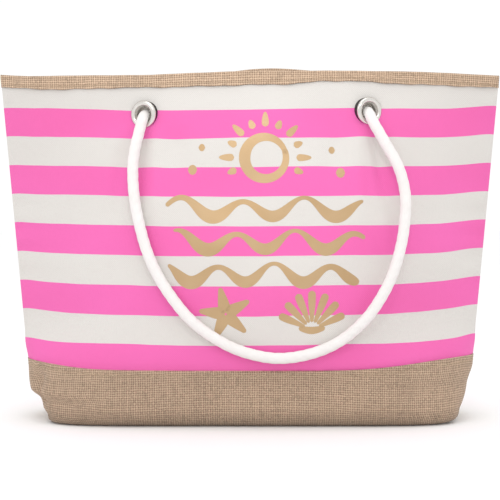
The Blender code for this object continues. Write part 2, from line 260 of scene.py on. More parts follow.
# Bleached cotton: soft, matt, faintly warm, with fine yarns that run along the rope's own axis, in
# places 26 mm apart where they lie closer or looser.
COLOURS = {"data_type": "RGBA"}  # setting of a node that mixes two colours
YARN = 0.0016  # spacing of the yarns that show on a strand
YARN_STRETCH = 0.18  # a yarn's width as a share of its visible run
cotton_rope, tree = material("bleached_cotton_rope")
place = add(tree, "ShaderNodeUVMap", {"uv_map": "cloth"})
stretch = add(tree, "ShaderNodeMapping", Vector=place.outputs[0], Scale=(1 / YARN, YARN_STRETCH / YARN, 1))
yarn = add(tree, "ShaderNodeTexNoise", Vector=stretch.outputs[0], Scale=1.0, Detail=3.0, Roughness=0.6)
lie = add(tree, "ShaderNodeTexNoise", Vector=place.outputs[0], Scale=38.0, Detail=2.0)
blend = add(tree, "ShaderNodeMath", {"operation": "MULTIPLY"}, i0=yarn.outputs[0], i1=lie.outputs[0])
tone = add(tree, "ShaderNodeMix", COLOURS, i0=blend.outputs[0], i6=linear("E4E0DD"), i7=linear("F8F7F6"))
rough = add(tree, "ShaderNodeMapRange", Value=yarn.outputs[0], To_Min=0.78, To_Max=0.95)
bump = add(tree, "ShaderNodeBump", Height=yarn.outputs[0], Strength=0.5, Distance=0.0006)
shader = add(
    tree, "ShaderNodeBsdfPrincipled", Base_Color=tone.outputs[2], Roughness=rough.outputs[0],
    Normal=bump.outputs[0], Sheen_Weight=0.25, Sheen_Roughness=0.5,
)
add(tree, "ShaderNodeOutputMaterial", Surface=shader.outputs[0])

front_route = smooth_path(ROPE_ROUTE, RING_STEP)
ropes = {}
for side, mirror in (("front", 1), ("back", -1)):
    route = front_route * (1, mirror, 1)
    points, faces, uv = laid_tube(route, ROPE_DIAMETER / 2, STRAND_PITCH, STRAND_RELIEF, ROPE_SIDES)
    ropes[side] = (mesh_piece(f"{side}_cotton_rope", points, faces, cotton_rope, uv), route)

# ---------------------------------------------------------------------------------------------
# Canvas walls: one trapezoid of striped cotton canvas at the front and one at the back, sewn
# together up the sides and stuffed, so each bulges out into a lens-shaped section.

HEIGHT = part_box("front_rim_binding")[1].z
TOP_HALF_WIDTH = 0.2790  # at the rim, from the middle to a side seam
FLOOR_HALF_WIDTH = 0.2455  # what the sides' straight taper would reach at the floor
RIM_HALF_DEPTH = 0.030
BULGE_HALF_DEPTH = 0.082
BULGE_HEIGHT = 0.140
BULGE_FALL = 1.6  # power of the fall from the bulge to the rim
FLOOR_HALF_DEPTH = 0.075
SIDE_TURN = (0.030, 0.050)  # how far in and how high the sides turn under to the base
FRONT_TURN = (0.012, 0.020)  # the same for the front and the back
BOXED_HEIGHT = 0.120  # below this the lens-shaped section turns boxy
SEAM_HALF = 0.0004  # half the gap between the walls at a side seam
JUTE_HEIGHT = 0.0620
CANVAS = 0.0012
COLUMNS = 260
FINE_COLUMNS = 801  # samples along a row, from which its even columns are spaced
EYELET_NAMES = ("left", "right")
eyelet_boxes = [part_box(f"front_{hand}_eyelet") for hand in EYELET_NAMES]
EYELET_X = [(low.x + high.x) / 2 for low, high in eyelet_boxes]
EYELET_Z = (0.3370, 0.3410)  # the left one is set a little lower
EYELET_CUT = 0.0112  # radius of the hole in the cloth, under the flange


def smoothstep(t):
    """Rises from 0 to 1 as t does, level at both ends: t squared times 3 - 2t."""
    t = np.clip(t, 0, 1)
    return t * t * (3 - 2 * t)


def turned_in(z, turn):
    """A quarter ellipse: how far a wall has moved in at height z."""
    reach, high = turn
    return reach * (1 - np.sqrt(1 - np.clip((high - z) / high, 0, 1) ** 2))


def half_width(z):
    """Straight taper from the floor to the rim, less the turn under to the base."""
    return FLOOR_HALF_WIDTH + (TOP_HALF_WIDTH - FLOOR_HALF_WIDTH) * z / HEIGHT - turned_in(z, SIDE_TURN)


def half_depth(z):
    """Depth on the centreline: widest at the bulge, falling as a power above it and as a square below."""
    up = np.clip((z - BULGE_HEIGHT) / (HEIGHT - BULGE_HEIGHT), 0, 1)
    down = np.clip(1 - z / BULGE_HEIGHT, 0, 1)
    rim = (BULGE_HALF_DEPTH - RIM_HALF_DEPTH) * up**BULGE_FALL
    return BULGE_HALF_DEPTH - rim - (BULGE_HALF_DEPTH - FLOOR_HALF_DEPTH) * down**2 - turned_in(z, FRONT_TURN)


def bell(t):
    """A bell of height 1 at t = 0: e to the power of minus t squared."""
    return np.exp(-(t**2))


def tucked_in(x, y, z):
    """How far x moves in near the floor. On the left the boxed corner is folded under from 30 mm down, and
    above that a crease runs down behind the front edge; the right side is drawn in a little."""
    at_left = smoothstep((-x - 0.14) / 0.07)
    at_right = smoothstep((x - 0.13) / 0.09)
    eased = 0.0014 * smoothstep((0.090 - z) / 0.03)
    folded = 0.0080 * smoothstep((0.0335 - z) / 0.010) * smoothstep(z / 0.010)
    creased = smoothstep((0.064 - z) / 0.022) * smoothstep((z - 0.016) / 0.012)
    crease = 0.0120 * bell((y + 0.036) / 0.010) * creased
    drawn = 0.0055 * smoothstep((0.062 - z) / 0.022) * smoothstep((z - 0.003) / 0.014)
    return at_left * (eased + folded + crease) - at_right * drawn


def depth_across(u, z):
    """Distance from the middle plane at u, from -1 at a seam to 1 at the other: 1 less u to a power, which
    is 2 higher up, a parabola, and 6 at the floor, where a root of the whole makes it a rounded box."""
    boxed = np.clip(1 - z / BOXED_HEIGHT, 0, 1) ** 1.5
    section = np.clip(1 - np.abs(u) ** (2 + 4 * boxed), 0, 1) ** (6**-boxed)
    return SEAM_HALF + (half_depth(z) - SEAM_HALF) * section


def seam_height(x):
    """The jute base is sewn on a little higher towards both side seams, more on the right."""
    at_left, at_right = smoothstep((-x - 0.14) / 0.11), smoothstep((x - 0.08) / 0.16)
    return JUTE_HEIGHT + 0.0046 * at_left**1.5 + 0.0092 * at_right**1.3


# Slow lumps: height, lengths of the slanting wave along X and up, its phase, then the length and phase
# of the wave up the wall that it is multiplied by, and whether the back shifts that one too
LUMPS = ((0.0016, 0.23, 0.41, 0.7, 0.21, 1.1, 1), (0.0010, 0.127, -0.26, 2.3, 0.15, 0.4, 0))
# Pleats under an eyelet: start beside it, lean, half width, height, and where each dies out above the floor
PLEATS = (
    (-0.013, 0.02, 0.0085, 0.0028, 0.200),
    (0.006, 0.07, 0.0075, -0.0023, 0.190),
    (0.026, 0.16, 0.0100, 0.0024, 0.225),
    (-0.034, -0.10, 0.0120, -0.0022, 0.235),
)
BACK_PHASE = 2.1  # so the back's lumps and puckers aren't the front's


def folds(x, z, back):
    """How far the stuffed cloth stands out from the plain wall: slow lumps, pleats that the ropes pull
    down from the eyelets, puckers along the side seams, and the nip at the jute seam."""
    phase = BACK_PHASE if back else 0.0
    edge = half_width(z) - np.abs(x)
    lumps = np.zeros_like(x)
    for high, along, up, start, swell, swell_start, shifts in LUMPS:
        slow = np.sin(2 * np.pi * (x / along + z / up) + start + phase)
        lumps = lumps + high * slow * np.sin(2 * np.pi * z / swell + swell_start + shifts * phase)
    lumps = lumps * smoothstep((z - 0.03) / 0.05) * smoothstep((0.375 - z) / 0.05) * smoothstep(edge / 0.04)
    # At each eyelet the cloth tips to face outwards, and its pleats run down from there
    pleats = np.zeros_like(x)
    for eyelet_x, eyelet_z, outward in zip(EYELET_X, EYELET_Z, (-1, 1)):
        near = np.exp(-(((x - eyelet_x) ** 2 + (z - eyelet_z) ** 2) / 0.020**2))
        pleats = pleats - 0.16 * outward * (x - eyelet_x) * near
        for start, lean, width, high, foot in PLEATS:
            middle = eyelet_x + outward * (start + lean * (eyelet_z - z))
            fade = smoothstep((z - foot) / 0.075) * smoothstep((0.330 - z) / 0.030)
            pleats = pleats + high * bell((x - middle) / width) * fade
    # One sharp crease runs down inside the right rope, and one broad hollow outside the left one
    crease = (x - (EYELET_X[1] - 0.005 + 0.22 * (EYELET_Z[1] - z))) / 0.0085
    fade = smoothstep((z - 0.165) / 0.06) * smoothstep((0.328 - z) / 0.02)
    pleats = pleats - 0.0030 * crease * bell(crease) * fade
    hollow = (x - (EYELET_X[0] - 0.024 - 0.06 * (EYELET_Z[0] - z))) / 0.0130
    pleats = pleats - 0.0028 * bell(hollow) * smoothstep((z - 0.200) / 0.05) * smoothstep((0.320 - z) / 0.03)
    wave = np.sin(2 * np.pi * z / 0.037 + 3 * np.sin(z * 31 + phase) + np.sign(x))
    puckers = 0.0015 * wave * np.exp(-edge / 0.020) * smoothstep((z - 0.06) / 0.04) * smoothstep(edge / 0.004)
    above = z - seam_height(x)
    nip = -0.0016 * bell(np.maximum(above, 0) / 0.0045) * smoothstep(edge / 0.03)
    puff = 0.0009 * bell((above - 0.016) / 0.010)
    return lumps + pleats + puckers + nip * (above >= 0) + puff


def wall(levels, back, rise=None):
    """The outer face of one wall, its front-side copy: rows at the given heights, columns evenly spaced
    along the cloth from seam to seam. Gives points, outward unit normals and the cloth's own metres."""
    fine = np.sin(np.pi / 2 * np.sin(np.linspace(-np.pi / 2, np.pi / 2, FINE_COLUMNS)))
    u = np.empty((len(levels), COLUMNS + 1))
    across = np.empty_like(u)
    for row, z in enumerate(levels):
        run = np.hypot(np.diff(half_width(z) * fine), np.diff(depth_across(fine, z)))
        run = np.concatenate([[0], np.cumsum(run)])
        at = np.linspace(0, run[-1], COLUMNS + 1)
        u[row] = np.interp(at, run, fine)
        across[row] = at - run[-1] / 2
    z = np.broadcast_to(np.asarray(levels, float)[:, None], u.shape)
    x = half_width(z) * u
    if rise is not None:
        z = z + rise(x, z)
        x = half_width(z) * u
    y = -depth_across(u, z)
    points = np.stack([x + tucked_in(x, -y if back else y, z), y, z], axis=-1)
    normals = np.cross(np.gradient(points, axis=1), np.gradient(points, axis=0))
    normals /= np.linalg.norm(normals, axis=2, keepdims=True)
    step = np.linalg.norm(np.diff(points, axis=0), axis=2)
    climbed = np.concatenate([np.zeros((1, COLUMNS + 1)), np.cumsum(step, axis=0)])
    return points, normals, np.stack([across, climbed + (points[0, :, 2] - JUTE_HEIGHT)], axis=-1)


CLEAR = 0.0001  # from the middle plane


def keep_apart(points):
    """Front and back layers stay on their own side of the middle plane and meet along the seams."""
    points[..., 1] = np.minimum(points[..., 1], -CLEAR)
    points[:, [0, -1], 1] = -CLEAR
    return points


def grid_cells(rows, columns):
    """The four corners of each cell of a grid whose points are numbered row by row."""
    index = np.arange(rows * columns).reshape(rows, columns)
    return np.stack([index[:-1, :-1], index[:-1, 1:], index[1:, 1:], index[1:, :-1]], axis=-1).reshape(-1, 4)


def two_faced(cells, total):
    """The faces of a cloth from the cells of its outer side: these, the same turned over on the inner
    side's points, which are numbered on by total, and a strip over every edge that only one cell uses."""
    edges = np.concatenate([cells[:, [k, (k + 1) % 4]] for k in range(4)])
    rim = edges[~np.isin(edges[:, 0] * total + edges[:, 1], edges[:, 1] * total + edges[:, 0])]
    strips = np.stack([rim[:, 1], rim[:, 0], rim[:, 0] + total, rim[:, 1] + total], axis=-1)
    return np.concatenate([cells, cells[:, ::-1] + total, strips])


def cloth(name, outer, inner, uv, finish, back, holes=()):
    """A cloth with two faces and closed edges from its outer and inner grids, less the cells in its holes.

    Points just inside a hole's edge are drawn out to its circle. A back piece is mirrored from the front.
    """
    rows, columns = outer.shape[:2]
    outer, inner = outer.reshape(-1, 3).copy(), inner.reshape(-1, 3).copy()
    cells = grid_cells(rows, columns)
    for middle, radius in holes:
        off = outer - middle
        reach = np.linalg.norm(off, axis=1)
        cells = cells[reach[cells].mean(axis=1) > radius]
        near = (reach > 0.3 * radius) & (reach < radius * 1.12)
        drawn = off[near] * (np.maximum(radius / reach[near] - 1, 0))[:, None] * 0.9
        outer[near] += drawn
        inner[near] += drawn
    faces = two_faced(cells, rows * columns)
    used = np.unique(faces)
    renumber = np.zeros(2 * rows * columns, np.int64)
    renumber[used] = np.arange(len(used))
    points, faces = np.concatenate([outer, inner])[used], renumber[faces]
    if back:
        points, faces = points * (1, -1, 1), faces[:, ::-1]
    both = np.concatenate([uv.reshape(-1, 2)] * 2)[used]
    made = mesh_piece(name, points, faces.tolist(), finish, both)
    made.data.set_sharp_from_angle(angle=math.radians(50))
    return made


def wall_spot(x, z, back):
    """Point and outward unit normal of the stuffed front face at x and height z, for arrays of both.

    The normal is the cross product of the plain face's slopes along x and z, moved out by the folds.
    """
    step = 0.0006

    def plain(px, pz):
        """The point of the wall without its folds."""
        y = -depth_across(px / half_width(pz), pz)
        return np.stack([px + tucked_in(px, -y if back else y, pz), y, pz], axis=-1)

    normal = np.cross(plain(x + step, z) - plain(x - step, z), plain(x, z + step) - plain(x, z - step))
    normal /= np.linalg.norm(normal, axis=-1, keepdims=True)
    return plain(x, z) + folds(x, z, back)[..., None] * normal, normal


# Cotton duck with yarn-dyed stripes: dry and matt, with a plain weave that is drawn at 1.1 mm, about
# half as coarse again as it is, so that it shows. The dye is uneven over 0.2 m, the stripes' edges
# wander by 0.6 mm over 45 mm, and slubs run 17 mm along the rows and 1.1 mm across them.
STRIPE = 0.0323
FIRST_STRIPE = 0.0287  # the part of the lowest pink stripe that shows above the jute
STRIPE_WANDER = 0.0006
CANVAS_WEAVE = 0.0011
striped_canvas, tree = material("striped_cotton_duck")
place = add(tree, "ShaderNodeUVMap", {"uv_map": "cloth"})
split = add(tree, "ShaderNodeSeparateXYZ", Vector=place.outputs[0])
wander = add(tree, "ShaderNodeTexNoise", Vector=place.outputs[0], Scale=22.0, Detail=1.0)
shift = add(
    tree, "ShaderNodeMapRange", Value=wander.outputs[0],
    To_Min=-FIRST_STRIPE - STRIPE_WANDER, To_Max=-FIRST_STRIPE + STRIPE_WANDER,
)
height = add(tree, "ShaderNodeMath", {"operation": "ADD"}, i0=split.outputs[1], i1=shift.outputs[0])
stripes = add(tree, "ShaderNodeMath", {"operation": "MULTIPLY"}, i0=height.outputs[0], i1=0.5 / STRIPE)
phase = add(tree, "ShaderNodeMath", {"operation": "FRACT"}, i0=stripes.outputs[0])
is_pink = add(tree, "ShaderNodeMath", {"operation": "GREATER_THAN"}, i0=phase.outputs[0], i1=0.5)
dye = add(tree, "ShaderNodeTexNoise", Vector=place.outputs[0], Scale=5.0, Detail=2.0, Roughness=0.5)
pink = add(tree, "ShaderNodeMix", COLOURS, i0=dye.outputs[0], i6=linear("E962A5"), i7=linear("F070BC"))
white = add(tree, "ShaderNodeMix", COLOURS, i0=dye.outputs[0], i6=linear("D5D0CB"), i7=linear("DDDAD5"))
striped = add(tree, "ShaderNodeMix", COLOURS, i0=is_pink.outputs[0], i6=white.outputs[2], i7=pink.outputs[2])
warp = add(tree, "ShaderNodeMath", {"operation": "MULTIPLY"}, i0=split.outputs[0], i1=math.pi / CANVAS_WEAVE)
weft = add(tree, "ShaderNodeMath", {"operation": "MULTIPLY"}, i0=split.outputs[1], i1=math.pi / CANVAS_WEAVE)
warp = add(tree, "ShaderNodeMath", {"operation": "SINE"}, i0=warp.outputs[0])
weft = add(tree, "ShaderNodeMath", {"operation": "SINE"}, i0=weft.outputs[0])
weave = add(tree, "ShaderNodeMath", {"operation": "MULTIPLY"}, i0=warp.outputs[0], i1=weft.outputs[0])
stretch = add(tree, "ShaderNodeMapping", Vector=place.outputs[0], Scale=(60, 900, 1))
slub = add(tree, "ShaderNodeTexNoise", Vector=stretch.outputs[0], Scale=1.0, Detail=2.0)
surface = add(
    tree, "ShaderNodeMath", {"operation": "MULTIPLY_ADD"}, i0=slub.outputs[0], i1=1.2, i2=weave.outputs[0]
)
shade = add(
    tree, "ShaderNodeMapRange", Value=surface.outputs[0],
    From_Min=-0.6, From_Max=1.8, To_Min=0.95, To_Max=1.02,
)
tinted = add(
    tree, "ShaderNodeVectorMath", {"operation": "SCALE"}, i0=striped.outputs[2], Scale=shade.outputs[0]
)
rough = add(tree, "ShaderNodeMapRange", Value=slub.outputs[0], To_Min=0.80, To_Max=0.92)
bump = add(tree, "ShaderNodeBump", Height=surface.outputs[0], Strength=0.35, Distance=0.0003)
shader = add(
    tree, "ShaderNodeBsdfPrincipled", Base_Color=tinted.outputs[0], Roughness=rough.outputs[0],
    Normal=bump.outputs[0], Sheen_Weight=0.08, Sheen_Roughness=0.4,
)
add(tree, "ShaderNodeOutputMaterial", Surface=shader.outputs[0])

UNDER_SEAM = 0.006  # the canvas runs on this far under the jute
UNDER_TOP = 0.0030  # and stops this far below the binding's top
canvas_levels = np.linspace(JUTE_HEIGHT - UNDER_SEAM, HEIGHT - UNDER_TOP, 140)

# How far the rim rises from level, in mm, at each X: it dips over the left eyelet and at both ends
RIM_X = (-0.28, -0.247, -0.107, -0.072, -0.040, 0.0, 0.085, 0.17, 0.22, 0.25, 0.28)
RIM_RISE = (-2.2, -4.1, -4.1, -2.5, -1.2, 0.0, 0.5, 0.4, -1.0, -2.2, -3.2)
CROWN = (0.0072, 0.0235, 0.062)  # how high the back rim is pushed up by the load, where, and how wide


def follow_seam(x, z):
    """Rows near the jute seam follow it up towards the side seams; the shift dies out 60 mm above."""
    return (seam_height(x) - JUTE_HEIGHT) * smoothstep((JUTE_HEIGHT + 0.06 - z) / 0.06)


def droop(x, z):
    """The rim's table above, straight-lined along the rim and fading out 56 mm below it."""
    return 0.001 * np.interp(x, RIM_X, RIM_RISE) * smoothstep((z - 0.33) / (HEIGHT - 0.33))


def crown(x, z):
    """The back rim dips with the front one, but stands up in a bell in the middle."""
    high, middle, wide = CROWN
    return high * bell((x - middle) / wide) * smoothstep((z - 0.25) / (HEIGHT - 0.25)) + droop(x, z)


def canvas_rise(x, z):
    """The jute seam's rise at the foot and the rim's at the top."""
    return follow_seam(x, z) + droop(x, z)


def back_canvas_rise(x, z):
    """The jute seam's rise at the foot and the back rim's at the top."""
    return follow_seam(x, z) + crown(x, z)


# How far the stripes hang below their even spacing, in mm: rows at four heights, columns across
DRIFT_X = (
    -0.252, -0.236, -0.214, -0.193, -0.171, -0.134, -0.096, -0.075, 0.0, 0.090, 0.139, 0.182, 0.204, 0.241,
)
DRIFT_Z = (0.075, 0.105, 0.230, 0.345)
DRIFT = (
    (0.5, 0.3, 0.0, 0.0, 0.0, 0.1, 0.3, 0.3, 0.6, 0.3, -0.3, -1.0, -1.2, -1.5),
    (0.8, 0.9, -0.7, -1.0, -0.5, 0.2, 2.2, 2.6, 2.6, 0.8, -0.2, -2.7, -3.6, -4.0),
    (0.3, -0.5, -2.8, -3.4, -2.0, 0.3, 3.0, 2.8, 2.7, 2.3, 0.5, -2.4, -2.8, -2.5),
    (1.3, -0.9, -1.4, -1.4, -0.6, 2.3, 4.1, 3.8, 2.4, 0.6, 0.0, -1.0, -1.1, -0.8),
)


def stripe_drift(x, z):
    """The table above, straight-lined in height and eased across by three blended samples."""
    share = np.interp(z, DRIFT_Z, np.arange(4.0))
    total = np.zeros_like(x)
    low = np.minimum(share.astype(int), 2)
    for shift in (-0.012, 0.0, 0.012):
        rows = np.stack([np.interp(x + shift, DRIFT_X, row) for row in DRIFT])
        below, above = (np.take_along_axis(rows, (low + k)[None], 0)[0] for k in (0, 1))
        total += below + (above - below) * (share - low)
    return 0.001 * total / 3


HIDDEN_EDGE = 0.0018  # the canvas lies this far back under the jute's hem
eyelet_spots = {}
for side, back in (("front", False), ("back", True)):
    points, normals, uv = wall(canvas_levels, back, back_canvas_rise if back else canvas_rise)
    x, z = points[..., 0], points[..., 2]
    uv[..., 1] += stripe_drift(x, z)
    if back:
        uv[..., 1] -= crown(x, z) - droop(x, z)
    tucked = -HIDDEN_EDGE * smoothstep((seam_height(x) + 0.001 - z) / 0.004)
    lift = (folds(x, z, back) + tucked)[..., None]
    spots = [wall_spot(np.array(ex), np.array(ez), back) for ex, ez in zip(EYELET_X, EYELET_Z)]
    eyelet_spots[side] = spots
    outer = keep_apart(points + lift * normals)
    inner = keep_apart(points + (lift - CANVAS) * normals)
    holes = [(spot, EYELET_CUT) for spot, _ in spots]
    panel = cloth(f"{side}_canvas_panel", outer, inner, uv, striped_canvas, back, holes)
    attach(panel, "bag")
    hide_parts(f"{side}_canvas")

# ---------------------------------------------------------------------------------------------
# Jute base: one band of natural burlap on each side that turns under the bag and meets the other
# at a bottom seam, with boxed corners. Its top edge is turned in and topstitched over the canvas.

JUTE = 0.0016
GAP = 0.0003

# Natural jute burlap in an open plain weave, 10 threads to 25 mm: dull, dry and hairy, with uneven
# threads that stray by 0.7 mm over 8 mm, slubs 40 mm long, dark gaps between the threads, and paler
# and darker patches of 70 mm. Shade is painted in, darker towards the ground, and light too, paler at the
# rim.
JUTE_THREAD = 0.0025
JUTE_STRAY = 0.0014
SLUB_STRETCH = 0.06  # a slub's width as a share of its length
OVER, UNDER = 0.45, 0.55  # a thread's height: this much more where it passes over than where it dips
woven_jute, tree = material("woven_jute_burlap")
place = add(tree, "ShaderNodeUVMap", {"uv_map": "cloth"})
wobble = add(tree, "ShaderNodeTexNoise", Vector=place.outputs[0], Scale=120.0, Detail=2.0)
centred = add(
    tree, "ShaderNodeVectorMath", {"operation": "SUBTRACT"}, i0=wobble.outputs[1], i1=(0.5, 0.5, 0.5)
)
drift = add(tree, "ShaderNodeVectorMath", {"operation": "SCALE"}, i0=centred.outputs[0], Scale=JUTE_STRAY)
bent = add(tree, "ShaderNodeVectorMath", {"operation": "ADD"}, i0=place.outputs[0], i1=drift.outputs[0])
counted = add(tree, "ShaderNodeVectorMath", {"operation": "SCALE"}, i0=bent.outputs[0], Scale=1 / JUTE_THREAD)
split = add(tree, "ShaderNodeSeparateXYZ", Vector=counted.outputs[0])
threads, numbers, tints = [], [], []
for axis in (0, 1):
    number = add(tree, "ShaderNodeMath", {"operation": "FLOOR"}, i0=split.outputs[axis])
    half_turns = add(tree, "ShaderNodeMath", {"operation": "MULTIPLY"}, i0=split.outputs[axis], i1=math.pi)
    wave = add(tree, "ShaderNodeMath", {"operation": "SINE"}, i0=half_turns.outputs[0])
    size = add(tree, "ShaderNodeMath", {"operation": "ABSOLUTE"}, i0=wave.outputs[0])
    own = add(tree, "ShaderNodeTexWhiteNoise", {"noise_dimensions": "1D"}, W=number.outputs[0])
    stretch = (SLUB_STRETCH, 1.0, 1.0) if axis else (1.0, SLUB_STRETCH, 1.0)
    run = add(tree, "ShaderNodeMapping", Vector=counted.outputs[0], Scale=stretch)
    slub = add(tree, "ShaderNodeTexNoise", Vector=run.outputs[0], Scale=1.1, Detail=2.0)
    tint = add(
        tree, "ShaderNodeMath", {"operation": "MULTIPLY_ADD"}, i0=own.outputs[0], i1=0.45, i2=slub.outputs[0]
    )
    threads.append(size)
    numbers.append(number)
    tints.append(tint)
parity = add(tree, "ShaderNodeMath", {"operation": "ADD"}, i0=numbers[0].outputs[0], i1=numbers[1].outputs[0])
parity = add(tree, "ShaderNodeMath", {"operation": "PINGPONG"}, i0=parity.outputs[0], i1=1.0)
heights = []
for axis in (0, 1):
    over = parity
    if axis == 1:
        over = add(tree, "ShaderNodeMath", {"operation": "SUBTRACT"}, i0=1.0, i1=parity.outputs[0])
    crossed = threads[1 - axis]
    lifted = add(tree, "ShaderNodeMath", {"operation": "MULTIPLY"}, i0=over.outputs[0], i1=crossed.outputs[0])
    level = add(
        tree, "ShaderNodeMath", {"operation": "MULTIPLY_ADD"}, i0=lifted.outputs[0], i1=OVER, i2=UNDER
    )
    own = threads[axis].outputs[0]
    heights.append(add(tree, "ShaderNodeMath", {"operation": "MULTIPLY"}, i0=own, i1=level.outputs[0]))
first, second = (height.outputs[0] for height in heights)
top = add(tree, "ShaderNodeMath", {"operation": "MAXIMUM"}, i0=first, i1=second)
upper = add(tree, "ShaderNodeMath", {"operation": "GREATER_THAN"}, i0=second, i1=first)
tint = add(
    tree, "ShaderNodeMix", {"data_type": "FLOAT"},
    i0=upper.outputs[0], i2=tints[0].outputs[0], i3=tints[1].outputs[0],
)
ramp = add(tree, "ShaderNodeValToRGB", Fac=top.outputs[0])
gap, proud = ramp.color_ramp.elements
gap.position, gap.color = 0.12, linear("76604E")
proud.position, proud.color = 0.85, linear("CBB197")
ramp.color_ramp.elements.new(0.45).color = linear("AE927A")
patchy = add(tree, "ShaderNodeTexNoise", Vector=place.outputs[0], Scale=14.0, Detail=3.0)
where = add(tree, "ShaderNodeTexCoord")
level = add(tree, "ShaderNodeSeparateXYZ", Vector=where.outputs["Object"])
strength = None
for cause, low, high, least, most in (
    (tint.outputs[0], 0.3, 1.2, 0.80, 1.12),  # the thread's own tint
    (patchy.outputs[0], 0.3, 0.7, 0.95, 1.04),
    (level.outputs[2], 0.0, 0.018, 0.66, 0.95),  # painted shade: darker near the ground
    (level.outputs[2], 0.30, 0.36, 1.0, 1.22),  # painted light: paler at the rim
):
    share = add(
        tree, "ShaderNodeMapRange", Value=cause, From_Min=low, From_Max=high, To_Min=least, To_Max=most
    ).outputs[0]
    if strength is not None:
        share = add(tree, "ShaderNodeMath", {"operation": "MULTIPLY"}, i0=strength, i1=share).outputs[0]
    strength = share
tinted = add(tree, "ShaderNodeVectorMath", {"operation": "SCALE"}, i0=ramp.outputs[0], Scale=strength)
hair = add(tree, "ShaderNodeTexNoise", Vector=counted.outputs[0], Scale=4.0, Detail=3.0)
cell = add(tree, "ShaderNodeVectorMath", {"operation": "FLOOR"}, i0=counted.outputs[0])
speck = add(tree, "ShaderNodeTexWhiteNoise", {"noise_dimensions": "2D"}, Vector=cell.outputs[0])
speck = add(
    tree, "ShaderNodeMapRange", Value=speck.outputs[0], From_Min=0.0, From_Max=0.35, To_Min=0.82, To_Max=1.02
)
tinted = add(
    tree, "ShaderNodeVectorMath", {"operation": "SCALE"}, i0=tinted.outputs[0], Scale=speck.outputs[0]
)
relief = add(
    tree, "ShaderNodeMath", {"operation": "MULTIPLY_ADD"}, i0=hair.outputs[0], i1=0.25, i2=top.outputs[0]
)
bump = add(tree, "ShaderNodeBump", Height=relief.outputs[0], Strength=0.8, Distance=0.0009)
rough = add(tree, "ShaderNodeMapRange", Value=hair.outputs[0], To_Min=0.86, To_Max=1.0)
shader = add(
    tree, "ShaderNodeBsdfPrincipled", Base_Color=tinted.outputs[0], Roughness=rough.outputs[0],
    Normal=bump.outputs[0], Sheen_Weight=0.1, Sheen_Roughness=0.6,
)
add(tree, "ShaderNodeOutputMaterial", Surface=shader.outputs[0])

turn_levels = SIDE_TURN[1] * (1 - np.cos(np.linspace(0, np.pi / 2, 30)))
jute_levels = np.concatenate([turn_levels, np.linspace(SIDE_TURN[1], JUTE_HEIGHT, 10)[1:]])
FLOOR_ROWS = 26
BOTTOM_SEAM_SHARE = 0.9  # of the floor's length: the boxed corners close the rest
BOTTOM_SEAM_HALF = 0.0004


def jute_rise(x, z):
    """The top row follows the seam's height, and the shift dies out 20 mm above the floor."""
    return (seam_height(x) - JUTE_HEIGHT) * smoothstep((z - 0.02) / (JUTE_HEIGHT - 0.02))


def with_floor(points, normals, uv, count):
    """The wall's rows with rows on the floor put under them, spaced evenly from the bottom seam out to
    the wall's foot."""
    foot = points[0]
    seam = foot * (BOTTOM_SEAM_SHARE, 0, 1) - (0, BOTTOM_SEAM_HALF, 0)
    share = np.linspace(0, 1, count + 1)[:-1, None, None]
    under = seam + (foot - seam) * share
    down = np.broadcast_to((0.0, 0.0, -1.0), under.shape)
    reach = np.linalg.norm(foot - seam, axis=1) * (1 - share[..., 0])
    flat = np.stack([np.broadcast_to(uv[0, :, 0], reach.shape), uv[0, :, 1] - reach], axis=-1)
    return np.concatenate([under, points]), np.concatenate([down, normals]), np.concatenate([flat, uv])


for side, back in (("front", False), ("back", True)):
    points, normals, uv = wall(jute_levels, back, jute_rise)
    points, normals, uv = with_floor(points, normals, uv, FLOOR_ROWS)
    normals[FLOOR_ROWS] = (0, 0, -1)
    x, z = points[..., 0], points[..., 2]
    below = seam_height(x) - z
    # The hem is a ridge just under its edge and is drawn in along the stitches, less so near the seams
    hem = 0.0009 * bell((below - 0.0022) / 0.0026) - 0.0003 * bell((below - 0.0058) / 0.0012)
    hem = hem * (0.25 + 0.75 * smoothstep((half_width(z) - np.abs(x)) / 0.03))
    # The load pushes a soft roll out 21 mm above the floor
    uneven = 0.75 + 0.25 * np.sin(x * 41 + 0.5) + 0.2 * np.sin(x * 97 + 2.0)
    sag = 0.0028 * uneven * bell((z - 0.021) / 0.010) * smoothstep((0.215 - np.abs(x)) / 0.06)
    lift = (folds(x, np.maximum(z, 0.001), back) * smoothstep(z / 0.03) + hem + sag + 0.0004)[..., None]
    lift = lift * smoothstep(z / 0.006)[..., None]
    outer = keep_apart(points + lift * normals)
    inner = keep_apart(points + (lift - JUTE) * normals)
    outer[..., 2] = np.maximum(outer[..., 2], 0.0)
    band = cloth(f"{side}_jute_band", outer, inner, uv, woven_jute, back)
    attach(band, "bag")
    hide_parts(f"{side}_jute_base")

# ---------------------------------------------------------------------------------------------
# Stitching: natural linen thread, one row along the rim binding's foot and one along the top of the
# jute base on each side, lockstitched at about 3.6 mm a stitch.

STITCH = 0.0036
SHOWN = 0.72  # share of a stitch's length that lies on top
THREAD = 0.0005  # radius
ROW_END = 0.004  # bare cloth at each end of a row
# One stitch, end to end: places along it, sizes, and heights off the cloth in thread radii
STITCH_ALONG = (-0.5, -0.42, 0.0, 0.42, 0.5)
STITCH_SIZE = (0.25, 0.8, 1.0, 0.8, 0.25)
STITCH_LIFT = (-0.5, 0.1, 0.35, 0.1, -0.5)
STITCH_SIDES = 6

